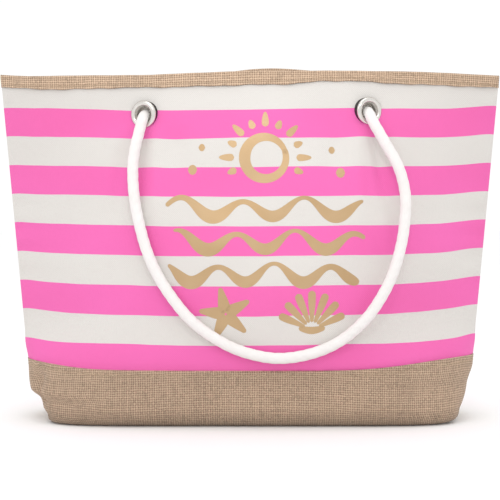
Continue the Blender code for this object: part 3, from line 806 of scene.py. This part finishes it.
# Waxed linen: smooth and slightly shiny, its tone broken by a twist of 0.7 mm.
linen_thread, tree = material("waxed_linen_thread")
place = add(tree, "ShaderNodeTexCoord")
twist = add(tree, "ShaderNodeTexNoise", Vector=place.outputs["Object"], Scale=1500.0, Detail=2.0)
tone = add(tree, "ShaderNodeMix", COLOURS, i0=twist.outputs[0], i6=linear("A58B70"), i7=linear("CDB89F"))
shader = add(tree, "ShaderNodeBsdfPrincipled", Base_Color=tone.outputs[2], Roughness=0.7)
add(tree, "ShaderNodeOutputMaterial", Surface=shader.outputs[0])


def stitch_row(name, line, normals, back):
    """Short round-ended stitches along a line on the cloth: each is a capsule of rings about its own axis."""
    run = np.concatenate([[0], np.cumsum(np.linalg.norm(np.diff(line, axis=0), axis=1))])
    starts = np.arange(ROW_END, run[-1] - ROW_END, STITCH)

    def on_line(at, values):
        """Rows of values at distances along the line, straight-lined between its points."""
        return np.stack([np.interp(at, run, values[:, k]) for k in range(3)], axis=1)

    middle, normal = on_line(starts + STITCH / 2, line), on_line(starts + STITCH / 2, normals)
    ahead = on_line(starts + STITCH, line) - on_line(starts, line)
    ahead /= np.linalg.norm(ahead, axis=1, keepdims=True)
    side = np.cross(ahead, normal)
    angle = np.linspace(0, 2 * np.pi, STITCH_SIDES, endpoint=False)[None, :, None]
    reach = np.array(STITCH_ALONG) * STITCH * SHOWN
    size, sink = np.array(STITCH_SIZE) * THREAD, np.array(STITCH_LIFT) * THREAD
    round_it = np.cos(angle) * side[:, None, None] + np.sin(angle) * normal[:, None, None]
    spine = middle[:, None] + reach[None, :, None] * ahead[:, None] + sink[None, :, None] * normal[:, None]
    points = (spine[:, :, None] + size[:, None, None] * round_it).reshape(-1, 3)
    each = len(STITCH_ALONG) * STITCH_SIDES
    ring = np.arange(each).reshape(-1, STITCH_SIDES)
    beside = np.roll(ring, -1, axis=1)
    one = np.stack([ring[:-1], beside[:-1], beside[1:], ring[1:]], axis=-1).reshape(-1, 4)
    on = each * np.arange(len(starts))[:, None, None]
    quads = (one[None] + on).reshape(-1, 4)
    ends = (np.stack([ring[0][::-1], ring[-1]])[None] + on).reshape(-1, STITCH_SIDES)
    if back:
        points, quads, ends = points * (1, -1, 1), quads[:, ::-1], ends[:, ::-1]
    made = mesh_piece(name, points, quads.tolist() + ends.tolist(), linen_thread)
    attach(made, "bag")


for side, back in (("front", False), ("back", True)):
    x = np.linspace(-0.252, 0.252, 500)
    z = seam_height(x) - 0.0060  # below the hem's top edge
    spot, normal = wall_spot(x, z, back)
    stitch_row(f"{side}_base_stitching", spot + 0.0003 * normal, normal, back)

# ---------------------------------------------------------------------------------------------
# Base board: stiff grey fibreboard laid between the jute and the lining to keep the base flat. It is
# cut to the base's outline and lies loose under the lining.

# Grey fibreboard: dull, mottled by pulp flecks of 2.4 mm.
grey_board, tree = material("grey_fibreboard")
place = add(tree, "ShaderNodeTexCoord")
pulp = add(tree, "ShaderNodeTexNoise", Vector=place.outputs["Object"], Scale=420.0, Detail=4.0)
tone = add(tree, "ShaderNodeMix", COLOURS, i0=pulp.outputs[0], i6=linear("7D7872"), i7=linear("A09A92"))
bump = add(tree, "ShaderNodeBump", Height=pulp.outputs[0], Strength=0.3, Distance=0.0003)
shader = add(
    tree, "ShaderNodeBsdfPrincipled", Base_Color=tone.outputs[2], Roughness=0.85, Normal=bump.outputs[0]
)
add(tree, "ShaderNodeOutputMaterial", Surface=shader.outputs[0])
board_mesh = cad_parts["base_board"].data
board_mesh.materials.clear()
board_mesh.materials.append(grey_board)

# ---------------------------------------------------------------------------------------------
# Lining: undyed cotton, one panel on each side, which lies against the canvas and over the base
# board, with a patch pocket sewn to the back one. Its top edge is caught under the rim binding.

LINING = 0.0008
BOARD = 0.0025
BEHIND_CANVAS = CANVAS + 0.0022  # from the walls' outer face
BEHIND_JUTE = JUTE + 0.0012
OVER_BOARD = JUTE + 2 * GAP + BOARD
LINING_FLOOR_ROWS = 11

# Unbleached calico: thin, matt and creamy, with threads 0.7 mm wide that thicken and thin over 8 mm.
CALICO_THREADS = (1400, 120)  # to a metre: across a thread, and along it
plain_cotton, tree = material("undyed_cotton_calico")
place = add(tree, "ShaderNodeUVMap", {"uv_map": "cloth"})
stretch = add(tree, "ShaderNodeMapping", Vector=place.outputs[0], Scale=(*CALICO_THREADS, 1))
along = add(tree, "ShaderNodeTexNoise", Vector=stretch.outputs[0], Scale=1.0, Detail=2.0)
stretch = add(tree, "ShaderNodeMapping", Vector=place.outputs[0], Scale=(*CALICO_THREADS[::-1], 1))
across = add(tree, "ShaderNodeTexNoise", Vector=stretch.outputs[0], Scale=1.0, Detail=2.0)
weave = add(tree, "ShaderNodeMath", {"operation": "ADD"}, i0=along.outputs[0], i1=across.outputs[0])
tone = add(tree, "ShaderNodeMapRange", Value=weave.outputs[0], From_Min=0.6, From_Max=1.4)
tone = add(tree, "ShaderNodeMix", COLOURS, i0=tone.outputs[0], i6=linear("EAE4D8"), i7=linear("F8F4EC"))
bump = add(tree, "ShaderNodeBump", Height=weave.outputs[0], Strength=0.3, Distance=0.0003)
rough = add(tree, "ShaderNodeMapRange", Value=along.outputs[0], To_Min=0.82, To_Max=0.95)
shader = add(
    tree, "ShaderNodeBsdfPrincipled", Base_Color=tone.outputs[2], Roughness=rough.outputs[0],
    Normal=bump.outputs[0],
)
add(tree, "ShaderNodeOutputMaterial", Surface=shader.outputs[0])

lining_levels = np.concatenate([turn_levels[2::2], np.linspace(SIDE_TURN[1], HEIGHT - 0.0040, 100)[1:]])
for side, back in (("front", False), ("back", True)):
    points, normals, uv = wall(lining_levels, back, crown if back else droop)
    x, z = points[..., 0], points[..., 2]
    lift = folds(x, np.maximum(z, 0.001), back) * smoothstep((z - 0.01) / 0.03)
    against = np.where(z > JUTE_HEIGHT, BEHIND_CANVAS, BEHIND_JUTE)
    depth = OVER_BOARD + (against - OVER_BOARD) * smoothstep((z - 0.002) / 0.012)
    depth = depth + 0.0012 * smoothstep((0.016 - np.abs(z - JUTE_HEIGHT - 0.002)) / 0.012)
    flare = smoothstep((z - (HEIGHT - 0.030)) / 0.022)  # out against the canvas, into the binding
    depth = depth + (CANVAS + GAP - depth) * flare
    on_floor = np.full((LINING_FLOOR_ROWS, COLUMNS + 1), OVER_BOARD - points[0, 0, 2])
    points, normals, uv = with_floor(points, normals, uv, LINING_FLOOR_ROWS)
    shift = np.concatenate([on_floor, depth - lift])[..., None]
    outer = keep_apart(points - shift * normals)
    inner = keep_apart(points - (shift + LINING) * normals)
    holes = [(spot - 0.0019 * normal, EYELET_CUT) for spot, normal in eyelet_spots[side]]
    panel = cloth(f"{side}_lining_panel", outer, inner, uv, plain_cotton, back, holes)
    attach(panel, "bag")
    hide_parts(f"{side}_lining")

left, right, foot, top = -0.088, 0.088, 0.205, 0.318  # the patch pocket
x, z = np.meshgrid(np.linspace(left, right, 90), np.linspace(foot, top, 60))
spot, normal = wall_spot(x, z, True)
inside = np.clip(np.minimum(x - left, right - x) / 0.03, 0, 1)
loose = 0.0035 * smoothstep(inside) * smoothstep((z - foot) / 0.09)
shift = (BEHIND_CANVAS + LINING + GAP + loose)[..., None]
uv = np.stack([x, z], axis=-1)
outer, inner = spot - shift * normal, spot - (shift + LINING) * normal
pocket = cloth("inner_patch_pocket", outer, inner, uv, plain_cotton, True)
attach(pocket, "bag")
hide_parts("inner_pocket")

# ---------------------------------------------------------------------------------------------
# Side seam tape: the two walls' seam allowance, turned in and bound with cotton twill tape. It stands
# in from each side seam, from the base board to the binding.

TAPE_WIDTH = 0.010
FROM_SEAM = 0.0035  # between the side seam and the tape's outer edge

# Cotton twill: soft and matt, with fine ribs on the slant, 1.2 mm from one to the next.
TWILL = 900  # to a metre; the wave's own scale then makes 0.3 of it
cotton_tape, tree = material("cotton_twill_tape")
place = add(tree, "ShaderNodeUVMap", {"uv_map": "cloth"})
slant = (0, 0, math.radians(45))
turned = add(tree, "ShaderNodeMapping", Vector=place.outputs[0], Rotation=slant, Scale=(TWILL, TWILL, 1))
twill = add(tree, "ShaderNodeTexWave", Vector=turned.outputs[0], Scale=0.3, Distortion=0.6, Detail=1.0)
tone = add(tree, "ShaderNodeMix", COLOURS, i0=twill.outputs[0], i6=linear("DED7CB"), i7=linear("F2EDE4"))
bump = add(tree, "ShaderNodeBump", Height=twill.outputs[0], Strength=0.4, Distance=0.0003)
shader = add(
    tree, "ShaderNodeBsdfPrincipled", Base_Color=tone.outputs[2], Roughness=0.88, Normal=bump.outputs[0]
)
add(tree, "ShaderNodeOutputMaterial", Surface=shader.outputs[0])
for hand, sign in (("left", -1), ("right", 1)):
    low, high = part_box(f"{hand}_seam_tape")
    z = np.linspace(low.z, high.z, 120)[:, None]
    reach = np.linspace(0, 1, 9)[None, :]
    wide = TAPE_WIDTH + 0.0006 * np.sin(z * 230)
    x = half_width(z) - FROM_SEAM - wide * reach
    y = 0.0006 * np.sin(z * 140) * reach
    surface = np.stack([x * sign, y + 0 * x, z + 0 * x], axis=-1)
    thick = 0.0004 + 0.0008 * smoothstep(reach / 0.8) * np.sqrt(1 - (np.clip(reach - 0.8, 0, 1) / 0.25) ** 2)
    offset = np.zeros_like(surface)
    offset[..., 1] = thick
    outer, inner = (surface - offset, surface + offset) if sign < 0 else (surface + offset, surface - offset)
    uv = np.stack([x, z + 0 * x], axis=-1)
    tape = cloth(f"{hand}_side_seam_tape", outer, inner, uv, cotton_tape, False)
    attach(tape, "bag")
    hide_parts(f"{hand}_seam_tape")

# ---------------------------------------------------------------------------------------------
# Rim binding: a strip of the same jute folded over the raw top edge of canvas and lining, with
# both its edges turned under, and stitched through near its foot.

BINDING = 0.0012
BINDING_HEIGHT = 0.0145
OUT, IN = 0.0018, 0.0044  # how far its two faces stand from the canvas's outer face
ARC = (OUT + IN) / 2
STITCHED_ROW = 3  # of the strip's mesh, counted up from its foot

# How far the front binding's foot strays from level, in mm, at each X
FOOT_X = (-0.265, -0.247, -0.20, -0.16, -0.107, -0.055, 0.0, 0.05, 0.062, 0.085, 0.12, 0.14, 0.19, 0.25)
FOOT_STRAY = (0.0, -0.9, -2.4, -1.3, -1.0, -2.2, -2.0, -1.1, 0.8, 2.2, 2.8, 0.3, -0.5, 0.0)


def front_rim_rise(x, z):
    """The droop, and at the binding's foot the table above, eased by three blended samples."""
    stray = 0.001 * sum(np.interp(x + shift, FOOT_X, FOOT_STRAY) for shift in (-0.008, 0.0, 0.008)) / 3
    return droop(x, z) + stray * np.clip((HEIGHT - ARC - z) / (BINDING_HEIGHT - ARC), 0, 1)


def binding_skin(extra, back):
    """The folded strip: up the outside, over a half circle and down the inside. extra moves every face
    that far into the strip's own body."""
    foot = HEIGHT - BINDING_HEIGHT
    shoulder = HEIGHT - ARC
    up = np.linspace(foot, shoulder, 12)
    points, normals, uv = wall(np.concatenate([up, [HEIGHT]]), back, crown if back else front_rim_rise)
    points, normals = points[:-1], normals[:-1]
    x, z = points[..., 0], points[..., 2]
    rise = points[-1] - points[-2]
    rise /= np.linalg.norm(rise, axis=1, keepdims=True)
    edge = 0.0004 * np.sin(x * 97 + 1) + 0.0003 * np.sin(x * 231 + 2)
    level = np.linspace(0, 1, len(up))[:, None]
    hem = 0.0006 * bell((level - 0.10) / 0.10) - 0.0004 * bell((level - 0.27) / 0.06)
    soft = 0.0003 * np.sin(x * 61 + z * 300) + 0.0002 * np.sin(x * 173)
    lift = folds(x, z, back)
    outer = points + (lift + OUT - extra + hem + soft)[..., None] * normals
    outer[0] += (edge[0])[:, None] * rise
    inside = points - (IN - lift - extra + hem - soft)[..., None] * normals
    bend = np.linspace(0, np.pi, 12)[1:-1, None, None]
    radius = ARC - extra
    middle = points[-1] + ((lift + OUT + soft)[-1] - ARC)[:, None] * normals[-1]
    over = middle + radius * np.cos(bend) * normals[-1] + radius * np.sin(bend) * rise
    rows = np.concatenate([outer, over, inside[::-1]])
    across = np.broadcast_to(uv[0, :, 0], rows.shape[:2])
    step = np.linalg.norm(np.diff(rows, axis=0), axis=2).mean(axis=1)
    run = np.concatenate([[0], np.cumsum(step)])[:, None]
    return rows, np.stack([across, np.broadcast_to(run, rows.shape[:2])], axis=-1), normals


for side, back in (("front", False), ("back", True)):
    outer, uv, normals = binding_skin(0.0, back)
    inner, _, _ = binding_skin(BINDING, back)
    strip = cloth(f"{side}_jute_rim", keep_apart(outer.copy()), keep_apart(inner), uv, woven_jute, back)
    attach(strip, "bag")
    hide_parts(f"{side}_rim_binding")
    facing = normals[STITCHED_ROW]
    stitch_row(f"{side}_rim_stitching", outer[STITCHED_ROW] + 0.0001 * facing, facing, back)

# ---------------------------------------------------------------------------------------------
# Eyelets: brass, nickel plated and polished. The flange is domed and its barrel goes through the
# cloth, where it is rolled over a flat washer on the inside.

EYELET_STEPS = 80
TILT, NOD = math.radians(16), math.radians(12)  # the ropes pull each eyelet to face outward and down
LIFT = 0.0015  # so its inner side stands off the cloth
DOME = np.linspace(0, np.pi, 15)
# Sections of the flange with its barrel and of the washer: radius, and height off the cloth
FLANGE = [
    (0.0136, 0.0004), *zip(0.0124 + 0.0028 * np.cos(DOME), 0.0008 + 0.0027 * np.sin(DOME)),
    (0.0092, 0.0004), (0.0087, -0.0004), (0.0086, -0.0020), (0.0086, -0.0078), (0.0089, -0.0087),
    (0.0096, -0.0091), (0.0104, -0.0088), (0.0109, -0.0081), (0.0105, -0.0075), (0.0099, -0.0073),
    (0.0096, -0.0060), (0.0096, -0.0002),
]
WASHER = [
    (0.0100, -0.0034), (0.0100, -0.0042), (0.0103, -0.0044), (0.0140, -0.0044), (0.0145, -0.0042),
    (0.0146, -0.0038), (0.0144, -0.0034),
]
NECK = (0.0149, 0.0125)  # outer and inner radius of the neck under the flange, a dark ring of painted shade

# Polished nickel over brass: bright, slightly warm grey, with faint rubbing marks 4 mm apart.
nickel_plate, tree = material("nickel_plated_brass")
place = add(tree, "ShaderNodeTexCoord")
rubbed = add(tree, "ShaderNodeTexNoise", Vector=place.outputs["Object"], Scale=260.0, Detail=4.0)
tone = add(tree, "ShaderNodeMix", COLOURS, i0=rubbed.outputs[0], i6=linear("D2CEC8"), i7=linear("E4E1DC"))
rough = add(tree, "ShaderNodeMapRange", Value=rubbed.outputs[0], To_Min=0.14, To_Max=0.26)
bump = add(tree, "ShaderNodeBump", Height=rubbed.outputs[0], Strength=0.08, Distance=0.0002)
shader = add(
    tree, "ShaderNodeBsdfPrincipled", Base_Color=tone.outputs[2], Metallic=1.0,
    Roughness=rough.outputs[0], Normal=bump.outputs[0],
)
add(tree, "ShaderNodeOutputMaterial", Surface=shader.outputs[0])


def spokes(axis):
    """Unit vectors square to the axis, evenly turned about it: cos a times one and sin a times the other."""
    angle = np.linspace(0, 2 * np.pi, EYELET_STEPS, endpoint=False)[:, None]
    across = np.cross(axis, (0.0, 0.0, 1.0))
    across /= np.linalg.norm(across)
    return np.cos(angle) * across + np.sin(angle) * np.cross(across, axis)


def ring_of(name, circles, spot, back, finish):
    """A closed ring from its circles of points, each joined to the next and the last to the first. Its
    faces are turned over if the sum of their volumes about the spot is negative."""
    index = np.arange(len(circles) * EYELET_STEPS).reshape(-1, EYELET_STEPS)
    beside = np.roll(index, -1, axis=1)
    quads = np.stack([index, beside, np.roll(beside, -1, axis=0), np.roll(index, -1, axis=0)], axis=-1)
    points, quads = circles.reshape(-1, 3), quads.reshape(-1, 4)
    a, b, c = (points[quads[:, k]] for k in range(3))
    if ((a - spot) * np.cross(b - a, c - a)).sum() < 0:
        quads = quads[:, ::-1]
    if back:
        points, quads = points * (1, -1, 1), quads[:, ::-1]
    return mesh_piece(name, points, quads.tolist(), finish)


def turned_ring(name, profile, spot, normal, back, finish):
    """A closed profile of (radius, height) pairs turned about the eyelet's axis."""
    radius, height = np.array(profile).T
    circles = spot + radius[:, None, None] * spokes(normal) + height[:, None, None] * normal
    made = ring_of(name, circles, spot, back, finish)
    made.data.set_sharp_from_angle(angle=math.radians(60))
    return made


# Painted shade: a nearly black ring behind the flange, with stains of 2 mm, stands in for the shadowed gap
# between the lifted flange and the cloth.
painted_shade_finish, tree = material("eyelet_painted_shade")
place = add(tree, "ShaderNodeTexCoord")
stain = add(tree, "ShaderNodeTexNoise", Vector=place.outputs["Object"], Scale=500.0, Detail=3.0)
tone = add(tree, "ShaderNodeMix", COLOURS, i0=stain.outputs[0], i6=linear("1C1A1B"), i7=linear("3A3432"))
shader = add(tree, "ShaderNodeBsdfPrincipled", Base_Color=tone.outputs[2], Metallic=0.3, Roughness=0.6)
add(tree, "ShaderNodeOutputMaterial", Surface=shader.outputs[0])


NECK_TOP = 0.0008  # how far up into the flange it starts
NECK_LEAST = 0.0005  # its length where the flange comes nearest to the cloth


def neck_ring(name, spot, axis, back):
    """A dark ring of painted shade under the flange: two circles inside the flange, and two below them where
    lines along the axis meet the cloth, found by stepping down it four times."""
    tops = [spot + radius * spokes(axis) + NECK_TOP * axis for radius in NECK]
    feet = []
    for top in tops:
        down = np.full(len(top), NECK_LEAST)
        for _ in range(4):
            foot = top - down[:, None] * axis
            cloth_y = wall_spot(foot[:, 0], foot[:, 2], back)[0][:, 1] + 0.0006
            down = np.maximum(down + (cloth_y - foot[:, 1]) / -axis[1], NECK_LEAST)
        feet.append(top - down[:, None] * axis)
    return ring_of(name, np.stack([feet[0], tops[0], tops[1], feet[1]]), spot, back, painted_shade_finish)


for side, back in (("front", False), ("back", True)):
    for hand, outward, (spot, normal) in zip(EYELET_NAMES, (-1, 1), eyelet_spots[side]):
        axis = normal + (outward * math.tan(TILT), 0, -math.tan(NOD))
        axis /= np.linalg.norm(axis)
        lifted = spot + LIFT * normal
        parts = (("eyelet", FLANGE, lifted, axis), ("eyelet_washer", WASHER, spot, normal))
        for what, profile, centre, facing in parts:
            ring = turned_ring(f"{side}_{hand}_{what}_ring", profile, centre, facing, back, nickel_plate)
            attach(ring, "bag")
            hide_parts(f"{side}_{hand}_{what}")
        # The neck is painted shade: a dark ring in the gap under the lifted flange
        neck = neck_ring(f"{side}_{hand}_eyelet_neck", lifted, axis, back)
        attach(neck, "bag")

# ---------------------------------------------------------------------------------------------
# Stopper knots: each rope end is wound round itself a little over twice, pulled tight against the
# washer, and its end is tucked into the middle.

WRAP_RADIUS = 0.0046  # the rope is squeezed where it is pulled tight
WRAP_REACH = 0.0083  # from the knot's middle to the middle of the wound rope
WRAPS = 2.35
WRAP_SIDES = 30
TUCK = 0.12  # share of the winding that is tucked in, at each end
BEHIND_WALL, KNOT_DEPTH = 0.0150, 0.0095  # where the winding starts, and how far it goes on into the bag
for side, mirror in (("front", 1), ("back", -1)):
    for hand, end, (spot, _) in zip(EYELET_NAMES, (0, -1), eyelet_spots[side]):
        middle = front_route[end]
        share = np.linspace(-TUCK, 1 + TUCK, 150)
        angle = 2 * np.pi * WRAPS * share + 0.6
        tuck = 1 - 0.75 * (smoothstep(-share / TUCK) + smoothstep((share - 1) / TUCK))
        x, z = middle[0] + WRAP_REACH * tuck * np.cos(angle), middle[2] + WRAP_REACH * tuck * np.sin(angle)
        y = spot[1] + BEHIND_WALL + KNOT_DEPTH * np.clip(share, 0, 1) + 0.002 * np.sin(angle)
        path = smooth_path(np.stack([x, y, z], axis=1) * (1, mirror, 1), RING_STEP, 0)
        points, faces, uv = laid_tube(path, WRAP_RADIUS, STRAND_PITCH, STRAND_RELIEF, WRAP_SIDES)
        knot = mesh_piece(f"{side}_{hand}_stopper_knot", points, faces, cotton_rope, uv)
        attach(knot, "bag")
        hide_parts(f"{side}_{hand}_rope_knot")

for side, mirror in (("front", 1), ("back", -1)):
    rope, route = ropes[side]
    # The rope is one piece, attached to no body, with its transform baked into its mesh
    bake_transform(rope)
    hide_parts(f"{side}_rope_handle")

# ---------------------------------------------------------------------------------------------
# Front motif: a sun over waves, with a starfish and a scallop shell, brushed on in gold foil.
# Each stroke is a thin raised film that follows the cloth.

FOIL_LOW, FOIL_HIGH = 0.00003, 0.00012

# Gold transfer foil on cloth: metallic but broken up by the weave under it, so it is satin, not
# mirror, with a crackle of 1.4 mm and cloudy patches of 40 mm.
gold_foil, tree = material("gold_transfer_foil")
place = add(tree, "ShaderNodeUVMap", {"uv_map": "cloth"})
crackle = add(tree, "ShaderNodeTexNoise", Vector=place.outputs[0], Scale=700.0, Detail=3.0)
cloudy = add(tree, "ShaderNodeTexNoise", Vector=place.outputs[0], Scale=24.0, Detail=2.0)
tone = add(tree, "ShaderNodeMix", COLOURS, i0=cloudy.outputs[0], i6=linear("B4946A"), i7=linear("C9AD88"))
rough = add(tree, "ShaderNodeMapRange", Value=crackle.outputs[0], To_Min=0.36, To_Max=0.60)
bump = add(tree, "ShaderNodeBump", Height=crackle.outputs[0], Strength=0.5, Distance=0.0003)
shader = add(
    tree, "ShaderNodeBsdfPrincipled", Base_Color=tone.outputs[2], Metallic=0.6,
    Roughness=rough.outputs[0], Normal=bump.outputs[0],
)
add(tree, "ShaderNodeOutputMaterial", Surface=shader.outputs[0])


STROKE_COLUMNS = 9
STROKE_STEP = 0.0012


def stroke(points, widths):
    """A brush stroke as a flat grid: a curve through the points, as wide as the widths say, and round at
    both ends, where its half width falls along a quarter circle."""
    line = smooth_path([(*p, w) for p, w in zip(points, widths)], STROKE_STEP, 0)
    middle, half = line[:, :2], line[:, 2] / 2
    ahead = np.gradient(middle, axis=0)
    ahead /= np.linalg.norm(ahead, axis=1, keepdims=True)
    side = np.stack([-ahead[:, 1], ahead[:, 0]], axis=1)
    run = np.concatenate([[0], np.cumsum(np.linalg.norm(np.diff(middle, axis=0), axis=1))])
    cap = np.clip(np.minimum(run, run[-1] - run) / np.maximum(half, 0.001), 0, 1)
    half = np.maximum(half * np.sqrt(1 - (1 - cap) ** 2), 0.0002)
    spread = np.linspace(-1, 1, STROKE_COLUMNS)[None, :, None]
    return middle[:, None] + spread * (half[:, None] * side)[:, None]


def ray(centre, angle, reaches, widths):
    """A straight stroke out from a centre, from the first reach to the last."""
    ends = [(centre[0] + r * math.cos(angle), centre[1] + r * math.sin(angle)) for r in reaches]
    return stroke(ends, widths)


def foil(grids, name):
    """The strokes raised from the stuffed wall as closed films, joined in one piece."""
    all_points, all_faces, all_uv, base = [], [], [], 0
    for grid in grids:
        spot, normal = wall_spot(grid[..., 0], grid[..., 1], False)
        rows, columns = grid.shape[:2]
        cells = grid_cells(rows, columns)
        a, b, c = (spot.reshape(-1, 3)[cells[:, k]] for k in range(3))
        facing = (np.cross(b - a, c - b) * normal.reshape(-1, 3)[cells[:, 0]]).sum()
        if facing < 0:
            cells = cells[:, ::-1]
        all_points += [(spot + lift * normal).reshape(-1, 3) for lift in (FOIL_HIGH, FOIL_LOW)]
        all_faces.append(two_faced(cells, rows * columns) + base)
        all_uv += [grid.reshape(-1, 2)] * 2
        base += 2 * rows * columns
    faces = np.concatenate(all_faces)
    made = mesh_piece(name, np.concatenate(all_points), faces.tolist(), gold_foil, np.concatenate(all_uv))
    made.data.set_sharp_from_angle(angle=math.radians(40))
    return made


# The sun: a ring that swells on one side, and eleven rays over its upper part
strokes = []
SUN, SUN_RADIUS = (0.0165, 0.2900), 0.0225
turns = np.linspace(0.15, 2 * math.pi + 0.45, 26)
circle = [(SUN[0] + SUN_RADIUS * math.cos(a), SUN[1] + SUN_RADIUS * math.sin(a)) for a in turns]
strokes.append(stroke(circle, np.interp(turns, [0.15, 3.0, 6.6], [0.005, 0.0125, 0.0065])))
for number, angle in enumerate(np.radians(np.linspace(-22, 202, 11))):
    tip = 0.0500 if number % 2 else 0.0440
    strokes.append(ray(SUN, angle, np.linspace(0.0335, tip, 4), [0.0070, 0.0078, 0.0062, 0.0025]))

# Three waves, each from its left end to its right at a height
WAVES = ((-0.090, 0.122, 0.2360), (-0.082, 0.124, 0.2010), (-0.088, 0.118, 0.1660))
for level, (left, right, high) in enumerate(WAVES):
    x = np.linspace(left, right, 44)
    swing = 2 * np.pi * (x - left) / (0.066 - 0.003 * level) + 1.1 * level
    z = high + 0.0095 * np.sin(swing) + 0.002 * np.sin(0.5 * swing + 1)
    width = 0.0092 - 0.0042 * np.sin(swing) + 0.0012 * np.sin(swing * 0.37)
    width[:3] *= (0.5, 0.7, 0.9)
    width[-3:] *= (0.9, 0.7, 0.5)
    strokes.append(stroke(list(zip(x, z)), width))

# A starfish with five arms, and a scallop shell with seven ribs and a hinge
STAR, SHELL = (-0.026, 0.1230), (0.066, 0.1060)
for angle in np.radians(90 + 72 * np.arange(5) + 12):
    strokes.append(ray(STAR, angle, (0.001, 0.011, 0.020, 0.0290), [0.0145, 0.0125, 0.0085, 0.0040]))
for angle in np.radians(np.linspace(24, 156, 7)):
    high = 0.036 + 0.006 * math.sin(angle)
    strokes.append(ray(SHELL, angle, np.linspace(0.008, high, 4), [0.0032, 0.0058, 0.0082, 0.0078]))
hinge = [(SHELL[0] + d, SHELL[1] - 0.001 + 0.003 * abs(d) / 0.014) for d in (-0.014, 0.0, 0.014)]
strokes.append(stroke(hinge, [0.005, 0.008, 0.005]))

# Four dots beside the sun: place and size
DOTS = ((-0.062, 0.277, 0.011), (-0.052, 0.301, 0.008), (0.098, 0.274, 0.011), (0.089, 0.299, 0.008))
for x, z, size in DOTS:
    strokes.append(stroke([(x - size * 0.45, z), (x, z), (x + size * 0.45, z)], [size] * 3))

motif = foil(strokes, "front_gold_motif")
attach(motif, "bag")
